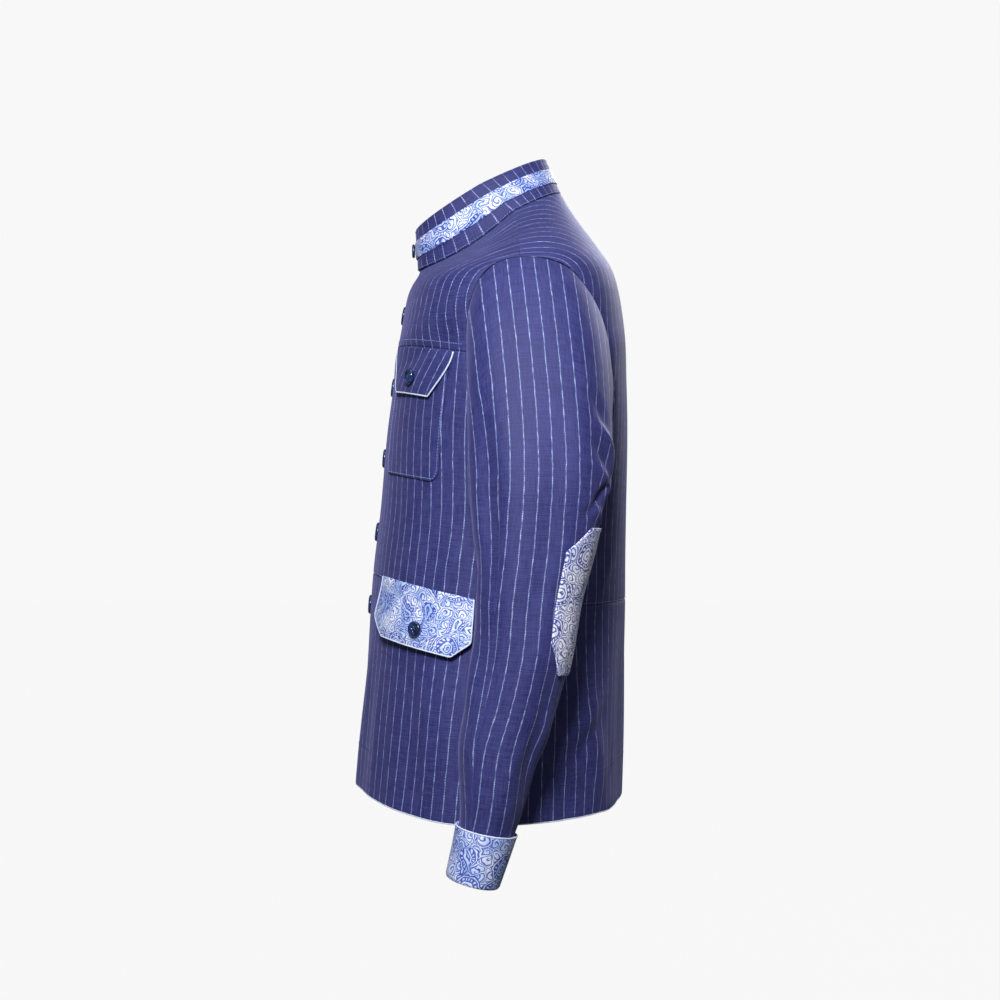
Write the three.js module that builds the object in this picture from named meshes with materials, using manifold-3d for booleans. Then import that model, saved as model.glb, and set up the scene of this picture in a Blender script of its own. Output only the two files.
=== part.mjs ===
import * as THREE from 'three';
import { mergeVertices } from 'three/addons/utils/BufferGeometryUtils.js';
import Module from 'manifold-3d';

// Safari jacket with a stand collar, filled out with nobody in it.
// Millimetres, +Z up. The front faces -Y and the wearer's left is +X.
// The origin is the middle between the shoulders, where the wearer holds it up.

const wasm = await Module();
wasm.setup();

const { lerp, smoothstep, degToRad } = THREE.MathUtils;

// Cloth and making
const wall = 2;                 // face cloth, interlining and lining together
const seam = 0.3;               // gap between two pieces that are sewn together
const layer = 1.4;              // a patch or flap laid on a panel
const clear = 0.7;              // what is laid on a curved panel clears it by this much
const overlap = 20;             // the left front passes the centre by this much
const underlay = 3.2;           // how far the right front lies under the left one
const underlayStart = 32;       // where the right front starts to rise to the surface
const underlayEnd = 62;         // where the right front is back at the surface

// Body: one row for each level, from the hem up to the neck seam.
// w is the half width, at the side seam. side, front and back are each a place's Y and Z.
// square is how square the front and the back of the ring are: 2 is an ellipse. dip is
// how far the ring hangs below a straight slope between the centre front and the side.
const bodyRings = [
  { at: 'hem', w: 222, side: [-32, -630], front: [-185, -609], back: [119, -622], square: [2.15, 2.5], dip: 6 },
  { at: 'hip', w: 219, side: [-27, -510], front: [-175, -503], back: [121, -508], square: [2.15, 2.6], dip: 0 },
  { at: 'waist', w: 206, side: [-22, -397], front: [-168, -373], back: [123, -401], square: [2.2, 2.8], dip: 0 },
  { at: 'ribs', w: 205, side: [-17, -305], front: [-159, -300], back: [124, -305], square: [2.2, 3.0], dip: 0 },
  { at: 'chest', w: 212, side: [-12, -225], front: [-152, -209], back: [124.5, -215], square: [2.25, 3.2], dip: 0 },
  { at: 'armpit', w: 216, side: [-9, -172], front: [-145, -152], back: [123, -158], square: [2.25, 3.3], dip: 0 },
  { at: 'yoke', w: 219, side: [-4, -132], front: [-138, -112], back: [120.5, -98], square: [2.25, 3.2], dip: 0 },
  { at: 'shoulder tip', w: 222, side: [1, -42], front: [-127, -60], back: [109, -38], square: [2.2, 2.9], dip: 0 },
  { at: 'outer shoulder', w: 192, side: [0, -21], front: [-123, -48], back: [91, -5], square: [2.15, 2.6], dip: 2 },
  { at: 'middle shoulder', w: 146, side: [-1, 0], front: [-120, -40], back: [73, 24], square: [2.1, 2.3], dip: 5 },
  { at: 'inner shoulder', w: 105, side: [-3, 18], front: [-117, -32], back: [60, 46], square: [2.05, 2.1], dip: 8 },
  { at: 'neck seam', w: 68, side: [-5, 35], front: [-115, -25], back: [50.5, 64], square: [2.0, 2.0], dip: 11 },
];
const ringCount = bodyRings.length - 1;
const levelOf = (at) => bodyRings.findIndex((ring) => ring.at === at) / ringCount;

// Stand collar: its top edge, above the neck seam
const collarTop = { w: 62, side: [-42, 67], front: [-118, 22], back: [33, 104] };
const collarOverlap = 13;
const collarLow = 0.012;        // where the stand starts, as a share of the collar's height
const collarBand = { low: 0.29, high: 0.69, thick: 0.9, endIn: 3 };
const collarUnder = { sink: 3.8, from: 0.62, full: 0.28 };   // the end that lies under, in radians before its edge

// Armhole, seen from the side: front half then back half, from top to bottom
const armholeFront = [
  { y: 1, z: -34 }, { y: -17, z: -37 }, { y: -37, z: -51 }, { y: -52, z: -82 },
  { y: -56, z: -125 }, { y: -50, z: -178 }, { y: -26, z: -232 }, { y: 26, z: -260 },
];
const armholeBack = [
  { y: 1, z: -34 }, { y: 28, z: -36 }, { y: 54, z: -47 }, { y: 76, z: -72 },
  { y: 91, z: -101 }, { y: 99, z: -140 }, { y: 101, z: -192 }, { y: 78, z: -240 }, { y: 26, z: -260 },
];

// Sleeve: one row for each ring below the cap. x, y and z are its centre, depth and
// breadth its half sizes along Y and X, and tilt lowers its back edge.
const sleeveRings = [
  { x: 267, y: 17.6, z: -290, depth: 68, breadth: 49, tilt: 0 },
  { x: 270, y: 13.8, z: -340, depth: 61, breadth: 48, tilt: 0 },
  { x: 272, y: 7.5, z: -392, depth: 53, breadth: 47, tilt: 1 },
  { x: 274, y: 2.6, z: -445, depth: 48.6, breadth: 46, tilt: 3 },
  { x: 275, y: -8, z: -495, depth: 46, breadth: 44, tilt: 6 },
  { x: 275, y: -22, z: -545, depth: 40.5, breadth: 41, tilt: 9 },
  { x: 274, y: -28, z: -595, depth: 34, breadth: 38, tilt: 10 },
  { x: 273, y: -33, z: -622, depth: 30.5, breadth: 35, tilt: 10 },
  { x: 272, y: -47, z: -676, depth: 27.5, breadth: 33, tilt: 9 },
];
const cuff = { top: -622, bottom: -676, loose: 0.8, thick: 2.4 };
const sleeveEnd = -664;

// How the cap leaves the armhole and meets the arm, as tangents
const cap = { leaveLow: 90, leaveHigh: 160, drop: 40, dropFrom: 0.7, arrive: 0.85, arriveMore: 12 };
const capClear = 0.75;          // between the cap's edge and the armhole's edge
const capPlain = 0.4;           // share of the cap that has no folds
const armholeMiddle = { y: 24, z: -147 };
const armholeCut = { fromX: 120, length: 180 };

// Elbow patch: half widths in degrees round the sleeve, at its middle, top and bottom,
// and the shares of its length over which it narrows to them
const elbowPatch = { top: -318, bottom: -463, half: 59, topHalf: 31, bottomHalf: 38, topCut: 0.16, bottomCut: 0.22 };
const elbowPatchClear = 1.9;
const sleeveBack = 0.75;        // the share round the sleeve where its back is

// Pockets and flaps, by the sizes that a maker cuts. rear is where the rear edge
// lies round the body, in degrees from the centre front. topShift is how far the top
// edge is above its seam, as a share of the body's rings. stand is how far a flap's
// lower edge stands off, and seat lifts its button to clear that slope. buttonAlong and
// buttonDown place the button, as shares from the rear edge and from the top.
const breastPocket = { rear: 60.7, width: 114, topShift: -0.072, depth: 117, corner: 12, stand: 0 };
const breastFlap = {
  rear: 62.2, width: 124, topShift: -0.022, depth: 50, taper: 25, bow: 1.7, stand: 4.5,
  seat: 1.5, buttonAlong: 0.47, buttonDown: 0.64,
};
const lowerFlap = {
  rear: 80, width: 143, topShift: 0.003, depth: 64, chamferWide: 24, chamferHigh: 20, flare: 4,
  stand: 6.5, seat: 1.1, buttonAlong: 0.43, buttonDown: 0.7,
};
const standBy = 0.9;            // share of the depth by which a flap stands off in full

// Buttons
const frontButtonHeights = [-77, -160, -242, -327, -411];
const frontButton = { radius: 11, thick: 4.6 };
const flapButton = { radius: 8.5, thick: 5 };
const collarButton = { radius: 8, thick: 3.4, up: 0.5 };
const buttonSection = [         // shares of the radius and of the thickness
  [0, 0], [0.82, 0], [1, 0.35], [0.97, 0.6], [0.8, 0.72], [0.45, 0.95], [0, 1],
];
const frontDip = { wide: 30, deep: 2.4 };      // the buttons draw the centre front in

// Largest folds. On the body, turn is in degrees from the centre front; on a sleeve it
// is in degrees from its outer side, towards the front. rise is out, or in if negative.
const bodyFolds = [
  { turn: 74, z: -75, turnEnd: 14, zEnd: -132, wide: 22, rise: 5 },
  { turn: 22, z: -455, turnEnd: 16, zEnd: -640, wide: 15, rise: 4 },
  { turn: 52, z: -470, turnEnd: 58, zEnd: -640, wide: 20, rise: -4 },
  { turn: 74, z: -330, turnEnd: 66, zEnd: -380, wide: 14, rise: 4 },
  { turn: 118, z: -270, turnEnd: 126, zEnd: -400, wide: 18, rise: 5 },
  { turn: 128, z: -500, turnEnd: 142, zEnd: -640, wide: 17, rise: 5 },
  { turn: 152, z: -430, turnEnd: 158, zEnd: -640, wide: 20, rise: -4 },
];
const sleeveFolds = [
  { turn: 30, z: -200, turnEnd: 20, zEnd: -470, wide: 15, rise: 3.5 },
  { turn: 88, z: -430, turnEnd: 62, zEnd: -500, wide: 15, rise: 4 },
  { turn: -70, z: -235, turnEnd: -110, zEnd: -290, wide: 15, rise: 4 },
  { turn: 75, z: -340, turnEnd: 110, zEnd: -400, wide: 15, rise: -4 },
  { turn: -40, z: -505, turnEnd: -95, zEnd: -550, wide: 15, rise: 4 },
];
const bodyTurnLength = 3.2;     // millimetres for a degree round the body
const sleeveTurnLength = 0.95;
const foldEnd = 0.12;           // a fold is this share of a half wave from nothing at each end

// Fineness of the walls, in steps
const steps = {
  front: 12, back: 22, skirt: 6, chest: 7, yoke: 6, upperBack: 13,
  sleeveRound: 24, cap: 6, arm: 12, cuff: 3, patchRound: 8, collarRound: 40, collarUp: 3,
  pocket: 9, breastFlap: 9, lowerFlap: 10, buttonRound: 14,
};
const weld = 1e-4;              // points nearer than this are one point

// Colours
const cloth = { color: 0x3c4079, roughness: 0.85, metalness: 0 };
const paisley = { color: 0xa5b5e0, roughness: 0.8, metalness: 0 };
const buttonFinish = { color: 0x171b3a, roughness: 0.35, metalness: 0 };

// Curves through the rings

const vec = (x, y, z) => new THREE.Vector3(x, y, z);
const through = (points) => new THREE.CatmullRomCurve3(points, false, 'centripetal');
const sideCurve = through(bodyRings.map((r) => vec(r.w, ...r.side)));
const frontCurve = through(bodyRings.map((r) => vec(r.dip, ...r.front)));
const backCurve = through(bodyRings.map((r) => vec(0, ...r.back)));
const squareCurve = through(bodyRings.map((r, i) => vec(...r.square, i)));
const sleeveCentre = through(sleeveRings.map((r) => vec(r.x, r.y, r.z)));
const sleeveSize = through(sleeveRings.map((r) => vec(r.breadth, r.depth, r.tilt)));

// A point of a ring: turn is from the centre front, in the ring drawn out to a circle
function ringPoint(side, front, back, dip, squares, turn) {
  const across = Math.sin(turn);
  const along = Math.cos(turn);
  const isFront = along >= 0;
  const square = isFront ? squares.x : squares.y;
  const reach = (Math.abs(across) ** square + Math.abs(along) ** square) ** (-1 / square);
  const share = Math.abs(along) * reach;
  const end = isFront ? front : back;
  const hang = isFront ? 4 * dip * share * (1 - share) : 0;
  return vec(side.x * across * reach, lerp(side.y, end.y, share), lerp(side.z, end.z, share) - hang);
}

const otherShare = (share, square) => (1 - Math.abs(share) ** square) ** (1 / square);

function foldHeight(folds, turnDegrees, z, turnLength) {
  let height = 0;
  for (const fold of folds) {
    const from = new THREE.Vector2(fold.turn * turnLength, fold.z);
    const to = new THREE.Vector2(fold.turnEnd * turnLength, fold.zEnd);
    const line = to.clone().sub(from);
    const place = new THREE.Vector2(turnDegrees * turnLength, z).sub(from);
    const share = THREE.MathUtils.clamp(place.dot(line) / line.lengthSq(), 0, 1);
    const away = place.sub(line.clone().multiplyScalar(share)).length() / fold.wide;
    height += fold.rise * Math.exp(-away * away) * Math.sin(Math.PI * lerp(foldEnd, 1 - foldEnd, share));
  }
  return height;
}

function plainBodyPoint(wanted, turn) {
  const level = THREE.MathUtils.clamp(wanted, 0, 1);
  const front = frontCurve.getPoint(level);
  return ringPoint(
    sideCurve.getPoint(level), front, backCurve.getPoint(level), front.x, squareCurve.getPoint(level), turn,
  );
}

// The direction out of a surface, from how its point moves with its two values
function outward(surface, u, v) {
  const step = 8e-3;
  const alongU = surface(u + step, v).sub(surface(u - step, v));
  const alongV = surface(u, v + step).sub(surface(u, v - step));
  return alongU.cross(alongV).normalize();
}

// The body's outer surface: turn in radians from the centre front, level from hem to neck
function bodyPoint(turn, wanted) {
  const level = THREE.MathUtils.clamp(wanted, 0, 1);
  const point = plainBodyPoint(level, turn);
  const degrees = Math.abs(THREE.MathUtils.radToDeg(turn));
  const round = degrees > 180 ? 360 - degrees : degrees;
  const dip = degrees < 90 ? frontDip.deep * Math.exp(-((point.x / frontDip.wide) ** 2)) : 0;
  const height = foldHeight(bodyFolds, round, point.z, bodyTurnLength) - dip;
  const plain = (u, v) => plainBodyPoint(v, u);
  const out = outward(plain, turn, level);
  return point.addScaledVector(out, height);
}

// Finds where a rising function passes a value
function bisect(low, high, passes) {
  for (let i = 0; i < 40; i += 1) {
    const middle = (low + high) / 2;
    if (passes(middle)) high = middle;
    else low = middle;
  }
  return (low + high) / 2;
}

const levelAtHeight = (turn, z) => bisect(0, 1, (level) => plainBodyPoint(level, turn).z > z);

function turnAtX(level, x) {
  const across = x / sideCurve.getPoint(level).x;
  return Math.atan2(across, otherShare(across, squareCurve.getPoint(level).x));
}

// The body's side at a place seen from the side, for the armhole's edge
function sideAt(y, z) {
  const turnHere = (level) => {
    const side = sideCurve.getPoint(level);
    const squares = squareCurve.getPoint(level);
    const isFront = y < side.y;
    const end = isFront ? frontCurve.getPoint(level) : backCurve.getPoint(level);
    const share = Math.min(1, (y - side.y) / (end.y - side.y));
    const turn = Math.atan2(otherShare(share, isFront ? squares.x : squares.y), share);
    return isFront ? turn : Math.PI - turn;
  };
  const level = bisect(0.2, 0.9, (value) => plainBodyPoint(value, turnHere(value)).z > z);
  return plainBodyPoint(level, turnHere(level)).x;
}

// Goes a length round the body from a turn, towards the centre front
function walkForward(level, turn, length) {
  const stride = degToRad(0.5);
  let gone = 0;
  let here = turn;
  let point = plainBodyPoint(level, here);
  while (gone < length) {
    const next = plainBodyPoint(level, here - stride);
    gone += next.distanceTo(point);
    here -= stride;
    point = next;
  }
  return here;
}

// Solids

// A closed wall between two offsets of a surface, or a tube wall if round is true.
// place(i, j) gives the surface's two values, and low and high the two offsets.
function wallSolid(surface, place, acrossSteps, upSteps, low, high, round = false) {
  const positions = [];
  const columns = round ? acrossSteps : acrossSteps + 1;
  const rows = upSteps + 1;
  const offsets = [high, low];
  for (const offset of offsets) {
    for (let i = 0; i < columns; i += 1) {
      for (let j = 0; j < rows; j += 1) {
        const [u, v] = place(i / acrossSteps, j / upSteps);
        const away = typeof offset === 'function' ? offset(i / acrossSteps, j / upSteps, u, v) : offset;
        const point = surface(u, v).addScaledVector(outward(surface, u, v), away);
        positions.push(point.x, point.y, point.z);
      }
    }
  }
  const inner = columns * rows;
  const at = (i, j) => (i % columns) * rows + j;
  const index = [];
  const quad = (a, b, c, d) => index.push(a, b, c, a, c, d);
  for (let i = 0; i < acrossSteps; i += 1) {
    for (let j = 0; j < upSteps; j += 1) {
      quad(at(i, j), at(i + 1, j), at(i + 1, j + 1), at(i, j + 1));
      quad(inner + at(i, j), inner + at(i, j + 1), inner + at(i + 1, j + 1), inner + at(i + 1, j));
    }
    quad(at(i + 1, 0), at(i, 0), inner + at(i, 0), inner + at(i + 1, 0));
    quad(at(i, upSteps), at(i + 1, upSteps), inner + at(i + 1, upSteps), inner + at(i, upSteps));
  }
  if (!round) {
    for (let j = 0; j < upSteps; j += 1) {
      quad(at(0, j), at(0, j + 1), inner + at(0, j + 1), inner + at(0, j));
      const last = columns - 1;
      quad(at(last, j + 1), at(last, j), inner + at(last, j), inner + at(last, j + 1));
    }
  }
  const geometry = new THREE.BufferGeometry();
  geometry.setAttribute('position', new THREE.Float32BufferAttribute(positions, 3));
  geometry.setIndex(index);
  return geometry;
}

function mirrored(geometry) {
  const copy = geometry.clone().scale(-1, 1, 1);
  const index = copy.getIndex().array;
  for (let i = 0; i < index.length; i += 3) [index[i], index[i + 1]] = [index[i + 1], index[i]];
  return copy;
}

function toManifold(geometry) {
  const bare = geometry.clone();
  bare.deleteAttribute('normal');
  bare.deleteAttribute('uv');
  const merged = mergeVertices(bare, weld);
  return new wasm.Manifold(new wasm.Mesh({
    numProp: 3,
    vertProperties: new Float32Array(merged.attributes.position.array),
    triVerts: new Uint32Array(merged.index.array),
  }));
}

function cutAway(geometry, cutter) {
  const mesh = toManifold(geometry).subtract(toManifold(cutter)).getMesh();
  const result = new THREE.BufferGeometry();
  result.setAttribute('position', new THREE.Float32BufferAttribute(mesh.vertProperties, 3));
  result.setIndex(Array.from(mesh.triVerts));
  return result;
}

// Armhole outline as a closed row of places, from the top, down the front and up the back
function armholeOutline(count) {
  const half = (table) => through(table.map((p) => vec(0, p.y, p.z))).getSpacedPoints(count / 2);
  const front = half(armholeFront);
  const back = half(armholeBack).reverse();
  return [...front.slice(0, -1), ...back.slice(0, -1)];
}

function armholeCutter() {
  const outline = armholeOutline(steps.sleeveRound * 2);
  const shape = new THREE.Shape(outline.map((p) => new THREE.Vector2(p.y, p.z)));
  const geometry = new THREE.ExtrudeGeometry(shape, { depth: armholeCut.length, bevelEnabled: false });
  const turned = new THREE.Matrix4().makeBasis(vec(0, 1, 0), vec(0, 0, 1), vec(1, 0, 0));
  return mergeVertices(geometry.applyMatrix4(turned).translate(armholeCut.fromX, 0, 0));
}
const cutterLeft = armholeCutter();
const cutterRight = mirrored(cutterLeft);

// A stretch of the body between two levels and two turns, with half a seam's gap all round
function bodyPanel(levelLow, levelHigh, turnLow, turnHigh, acrossSteps, upSteps, lift = () => 0) {
  const half = seam / 2;
  const step = 1e-3;
  const place = (i, j) => {
    let level = lerp(levelLow, levelHigh, j);
    let turn = lerp(turnLow(level), turnHigh(level), i);
    const speedUp = bodyPoint(turn, level + step).distanceTo(bodyPoint(turn, level - step)) / (2 * step);
    const speedRound = bodyPoint(turn + step, level).distanceTo(bodyPoint(turn - step, level)) / (2 * step);
    if (j === 0 && levelLow > 0) level += half / speedUp;
    if (j === 1 && levelHigh < 1) level -= half / speedUp;
    if (i === 0) turn += half / speedRound;
    if (i === 1) turn -= half / speedRound;
    return [turn, level];
  };
  const outer = (i, j, u, v) => lift(u, v);
  const inner = (i, j, u, v) => lift(u, v) - wall;
  return wallSolid(bodyPoint, place, acrossSteps, upSteps, inner, outer);
}

// A front, as if it were the left one: its edge passes the centre, and the under one
// is sunk there so that the other can lie on it.
function frontPanel(levelLow, levelHigh, upSteps, under) {
  const sunk = (turn, level) => {
    const x = bodyPoint(turn, level).x;
    return under ? -underlay * (1 - smoothstep(x, underlayStart, underlayEnd)) : 0;
  };
  return bodyPanel(
    levelLow, levelHigh,
    (level) => turnAtX(level, -overlap), () => Math.PI / 2,
    steps.front, upSteps, sunk,
  );
}

const backPanel = (levelLow, levelHigh, upSteps) => bodyPanel(
  levelLow, levelHigh, () => Math.PI / 2, () => Math.PI * 1.5, steps.back, upSteps,
);

// Sleeve: value u goes once round from the outer side by the front, and v is 0 to 1 in
// the cap, then 1 to 2 down the arm.
const armholeSeat = armholeOutline(steps.sleeveRound);
const armholeLoop = new THREE.CatmullRomCurve3(
  armholeSeat.map((p) => {
    const middle = vec(0, armholeMiddle.y, armholeMiddle.z);
    const seat = p.clone().addScaledVector(middle.sub(p).normalize(), capClear);
    return vec(sideAt(p.y, p.z) - wall, seat.y, seat.z);
  }), true, 'centripetal',
);

function armPoint(u, share) {
  const centre = sleeveCentre.getPoint(share);
  const size = sleeveSize.getPoint(share);
  const turn = u * Math.PI * 2;
  const y = -size.y * Math.sin(turn);
  return vec(
    centre.x + size.x * Math.cos(turn),
    centre.y + y,
    centre.z - y * Math.tan(degToRad(size.z)),
  );
}

function sleevePlain(u, v) {
  const around = u - Math.floor(u);
  if (v >= 1) return armPoint(around, Math.min(v - 1, 1));
  const share = Math.max(v, 0);
  const start = armholeLoop.getPoint(around);
  const end = armPoint(around, 0);
  const down = armPoint(around, 0.01).sub(end).normalize();
  const [highest, lowest] = [armholeFront.at(0).z, armholeFront.at(-1).z];
  const height = (start.z - lowest) / (highest - lowest);
  const drop = -cap.drop * smoothstep(height, cap.dropFrom, 1);
  const leave = vec(lerp(cap.leaveLow, cap.leaveHigh, height), 0, drop);
  const arrive = down.multiplyScalar(Math.abs(end.z - start.z) * cap.arrive + cap.arriveMore);
  const s2 = share * share;
  const s3 = s2 * share;
  return start.multiplyScalar(2 * s3 - 3 * s2 + 1)
    .addScaledVector(leave, s3 - 2 * s2 + share)
    .addScaledVector(end, -2 * s3 + 3 * s2)
    .addScaledVector(arrive, s3 - s2);
}

function sleevePoint(u, v) {
  const point = sleevePlain(u, v);
  if (v < capPlain) return point;
  const around = u - Math.floor(u);
  const degrees = around > 0.5 ? (around - 1) * 360 : around * 360;
  const height = foldHeight(sleeveFolds, degrees, point.z, sleeveTurnLength);
  return point.addScaledVector(outward(sleevePlain, u, v), height);
}

const armValueAt = (z) => 1 + bisect(0, 1, (share) => sleeveCentre.getPoint(share).z < z);

function sleeveSolid() {
  const end = armValueAt(sleeveEnd);
  const all = steps.cap + steps.arm;
  const place = (i, j) => {
    const row = j * all;
    return [i, row < steps.cap ? row / steps.cap : lerp(1, end, (row - steps.cap) / steps.arm)];
  };
  return wallSolid(sleevePoint, place, steps.sleeveRound, all, -wall, 0, true);
}

function cuffSolid() {
  const low = armValueAt(cuff.top);
  const high = armValueAt(cuff.bottom);
  const place = (i, j) => [i, lerp(low, high, j)];
  return wallSolid(sleevePlain, place, steps.sleeveRound, steps.cuff, cuff.loose, cuff.loose + cuff.thick, true);
}

function elbowPatchSolid() {
  const { top, bottom, half, topHalf, bottomHalf, topCut, bottomCut } = elbowPatch;
  const rows = [0, topCut / 2, topCut, 0.33, 0.5, 0.64, 1 - bottomCut, 1 - bottomCut / 2, 1];
  const place = (i, j) => {
    const share = rows[Math.round(j * (rows.length - 1))];
    let reach = half;
    if (share < topCut) reach = lerp(topHalf, half, share / topCut);
    if (share > 1 - bottomCut) reach = lerp(half, bottomHalf, (share - 1 + bottomCut) / bottomCut);
    return [sleeveBack + lerp(-reach, reach, i) / 360, armValueAt(lerp(top, bottom, share))];
  };
  const low = elbowPatchClear;
  return wallSolid(sleevePoint, place, steps.patchRound, rows.length - 1, low, low + layer);
}

// Collar: value u is the turn from the centre front, v is 0 at the neck seam, 1 at the top
function collarPoint(u, v) {
  const up = THREE.MathUtils.clamp(v, 0, 1);
  const neck = bodyRings[ringCount];
  const between = (x, from, to) => vec(x, ...from).lerp(vec(x, ...to), up);
  return ringPoint(
    between(lerp(neck.w, collarTop.w, up), neck.side, collarTop.side),
    between(0, neck.front, collarTop.front), between(0, neck.back, collarTop.back),
    neck.dip * (1 - up) ** 2, vec(...neck.square, 0), u,
  );
}

function collarSolid(low, high, inner, outer, upSteps, endIn) {
  const past = Math.asin((collarOverlap - endIn) / bodyRings[ringCount].w);
  const round = Math.PI * 2;
  const place = (i, j) => [lerp(-past, round + past, i), lerp(low, high, j)];
  const { sink, from, full } = collarUnder;
  const sunk = (turn) => -sink * smoothstep(turn, round - from, round - full);
  return wallSolid(
    collarPoint, place, steps.collarRound, upSteps,
    (i, j, u) => inner + sunk(u), (i, j, u) => outer + sunk(u),
  );
}

// A piece laid on the body: its rear edge is at a turn, its top edge near a seam's level,
// and rows of it get narrower by inset at each end. stand lifts its free lower edge.
const yokeLevel = levelOf('yoke');
const waistLevel = levelOf('waist');
const laidLift = (stand, share) => clear + stand * smoothstep(share, 0, standBy);

function laidPiece({ rear, width, topShift, depth, stand }, seamLevel, inset, rows, across) {
  const top = seamLevel + topShift;
  const rearTurn = degToRad(rear);
  const frontTurn = walkForward(top, rearTurn, width);
  const shareAt = (j) => rows[Math.round((1 - j) * (rows.length - 1))];
  const place = (i, j) => {
    const share = shareAt(j);
    const nearTurn = lerp(frontTurn, rearTurn, i);
    const level = levelAtHeight(nearTurn, plainBodyPoint(top, nearTurn).z - depth * share);
    const narrow = inset(share);
    return [walkForward(level, rearTurn, lerp(width - narrow, narrow, i)), level];
  };
  const lift = (i, j) => laidLift(stand, shareAt(j));
  return wallSolid(bodyPoint, place, across, rows.length - 1, lift, (i, j) => lift(i, j) + layer);
}

function breastPocketSolid() {
  const { depth, corner } = breastPocket;
  const round = corner / depth;
  const rows = [0, 0.25, 0.5, 0.75, 1 - round, 1 - round * 0.35, 1];
  const inset = (share) => {
    const into = Math.max(0, share - 1 + round) / round;
    return corner * (1 - Math.sqrt(Math.max(0, 1 - into * into)));
  };
  return laidPiece(breastPocket, yokeLevel, inset, rows, steps.pocket);
}

function breastFlapSolid() {
  const inset = (share) => breastFlap.taper * share ** breastFlap.bow;
  return laidPiece(breastFlap, yokeLevel, inset, [0, 0.2, 0.45, 0.75, 1], steps.breastFlap);
}

function lowerFlapSolid() {
  const { depth, chamferWide, chamferHigh, flare } = lowerFlap;
  const cut = chamferHigh / depth;
  const inset = (share) => chamferWide * Math.max(0, share - 1 + cut) / cut - flare * Math.min(1, share / (1 - cut));
  return laidPiece(lowerFlap, waistLevel, inset, [0, 0.3, 1 - cut, 1 - cut / 2, 1], steps.lowerFlap);
}

// Buttons: a domed disc with a rolled edge, turned to face out of what it is sewn to
function buttonSolid({ radius, thick }, centre, out) {
  const section = buttonSection.map(([far, up]) => new THREE.Vector2(far * radius, up * thick));
  const geometry = new THREE.LatheGeometry(section, steps.buttonRound);
  geometry.deleteAttribute('normal');
  geometry.deleteAttribute('uv');
  const turned = new THREE.Quaternion().setFromUnitVectors(vec(0, 1, 0), out);
  return mergeVertices(geometry, 1e-3).applyQuaternion(turned).translate(centre.x, centre.y, centre.z);
}

function frontButtonSolid(z) {
  const level = levelAtHeight(0, z);
  const out = outward(bodyPoint, 0, level);
  return buttonSolid(frontButton, bodyPoint(0, level).addScaledVector(out, clear + seam), out);
}

function flapButtonSolid({ rear, width, topShift, depth, stand, seat, buttonAlong, buttonDown }, seamLevel) {
  const top = seamLevel + topShift;
  const turn = walkForward(top, degToRad(rear), width * buttonAlong);
  const level = levelAtHeight(turn, plainBodyPoint(top, turn).z - depth * buttonDown);
  const out = outward(bodyPoint, turn, level);
  const lift = laidLift(stand, buttonDown) + layer + seat;
  return buttonSolid(flapButton, bodyPoint(turn, level).addScaledVector(out, lift), out);
}

// Assembly

const jacket = new THREE.Group();
jacket.name = 'safari_jacket';

function add(name, geometry, finish) {
  const mesh = new THREE.Mesh(geometry, new THREE.MeshStandardMaterial(finish));
  mesh.name = name;
  jacket.add(mesh);
}

const both = (name, geometry, finish) => {
  add(`${name}_left`, geometry, finish);
  add(`${name}_right`, mirrored(geometry), finish);
};

add('front_left_yoke', cutAway(frontPanel(yokeLevel, 1, steps.yoke, false), cutterLeft), cloth);
add('front_left_chest', cutAway(frontPanel(waistLevel, yokeLevel, steps.chest, false), cutterLeft), cloth);
add('front_left_skirt', frontPanel(0, waistLevel, steps.skirt, false), cloth);
add('front_right_yoke', cutAway(mirrored(frontPanel(yokeLevel, 1, steps.yoke, true)), cutterRight), cloth);
add('front_right_chest', cutAway(mirrored(frontPanel(waistLevel, yokeLevel, steps.chest, true)), cutterRight), cloth);
add('front_right_skirt', mirrored(frontPanel(0, waistLevel, steps.skirt, true)), cloth);
const upperBack = backPanel(waistLevel, 1, steps.upperBack);
add('back_upper', cutAway(cutAway(upperBack, cutterLeft), cutterRight), cloth);
add('back_skirt', backPanel(0, waistLevel, steps.skirt), cloth);

both('sleeve', sleeveSolid(), cloth);
both('cuff', cuffSolid(), paisley);
both('elbow_patch', elbowPatchSolid(), paisley);

add('collar_stand', collarSolid(collarLow, 1, -wall, 0, steps.collarUp, 0), cloth);
const { low: bandLow, high: bandHigh, thick: bandThick, endIn: bandEndIn } = collarBand;
add('collar_band', collarSolid(bandLow, bandHigh, clear, clear + bandThick, 1, bandEndIn), paisley);

both('breast_pocket', breastPocketSolid(), cloth);
both('breast_flap', breastFlapSolid(), cloth);
both('lower_flap', lowerFlapSolid(), paisley);

frontButtonHeights.forEach((z, i) => add(`button_front_${i + 1}`, frontButtonSolid(z), buttonFinish));
const collarFace = collarPoint(0, collarButton.up);
collarFace.y -= clear + layer;
add('button_collar', buttonSolid(collarButton, collarFace, vec(0, -1, 0)), buttonFinish);
both('button_breast', flapButtonSolid(breastFlap, yokeLevel), buttonFinish);
both('button_lower', flapButtonSolid(lowerFlap, waistLevel), buttonFinish);

export default jacket;
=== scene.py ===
import math
from collections import namedtuple

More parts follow.
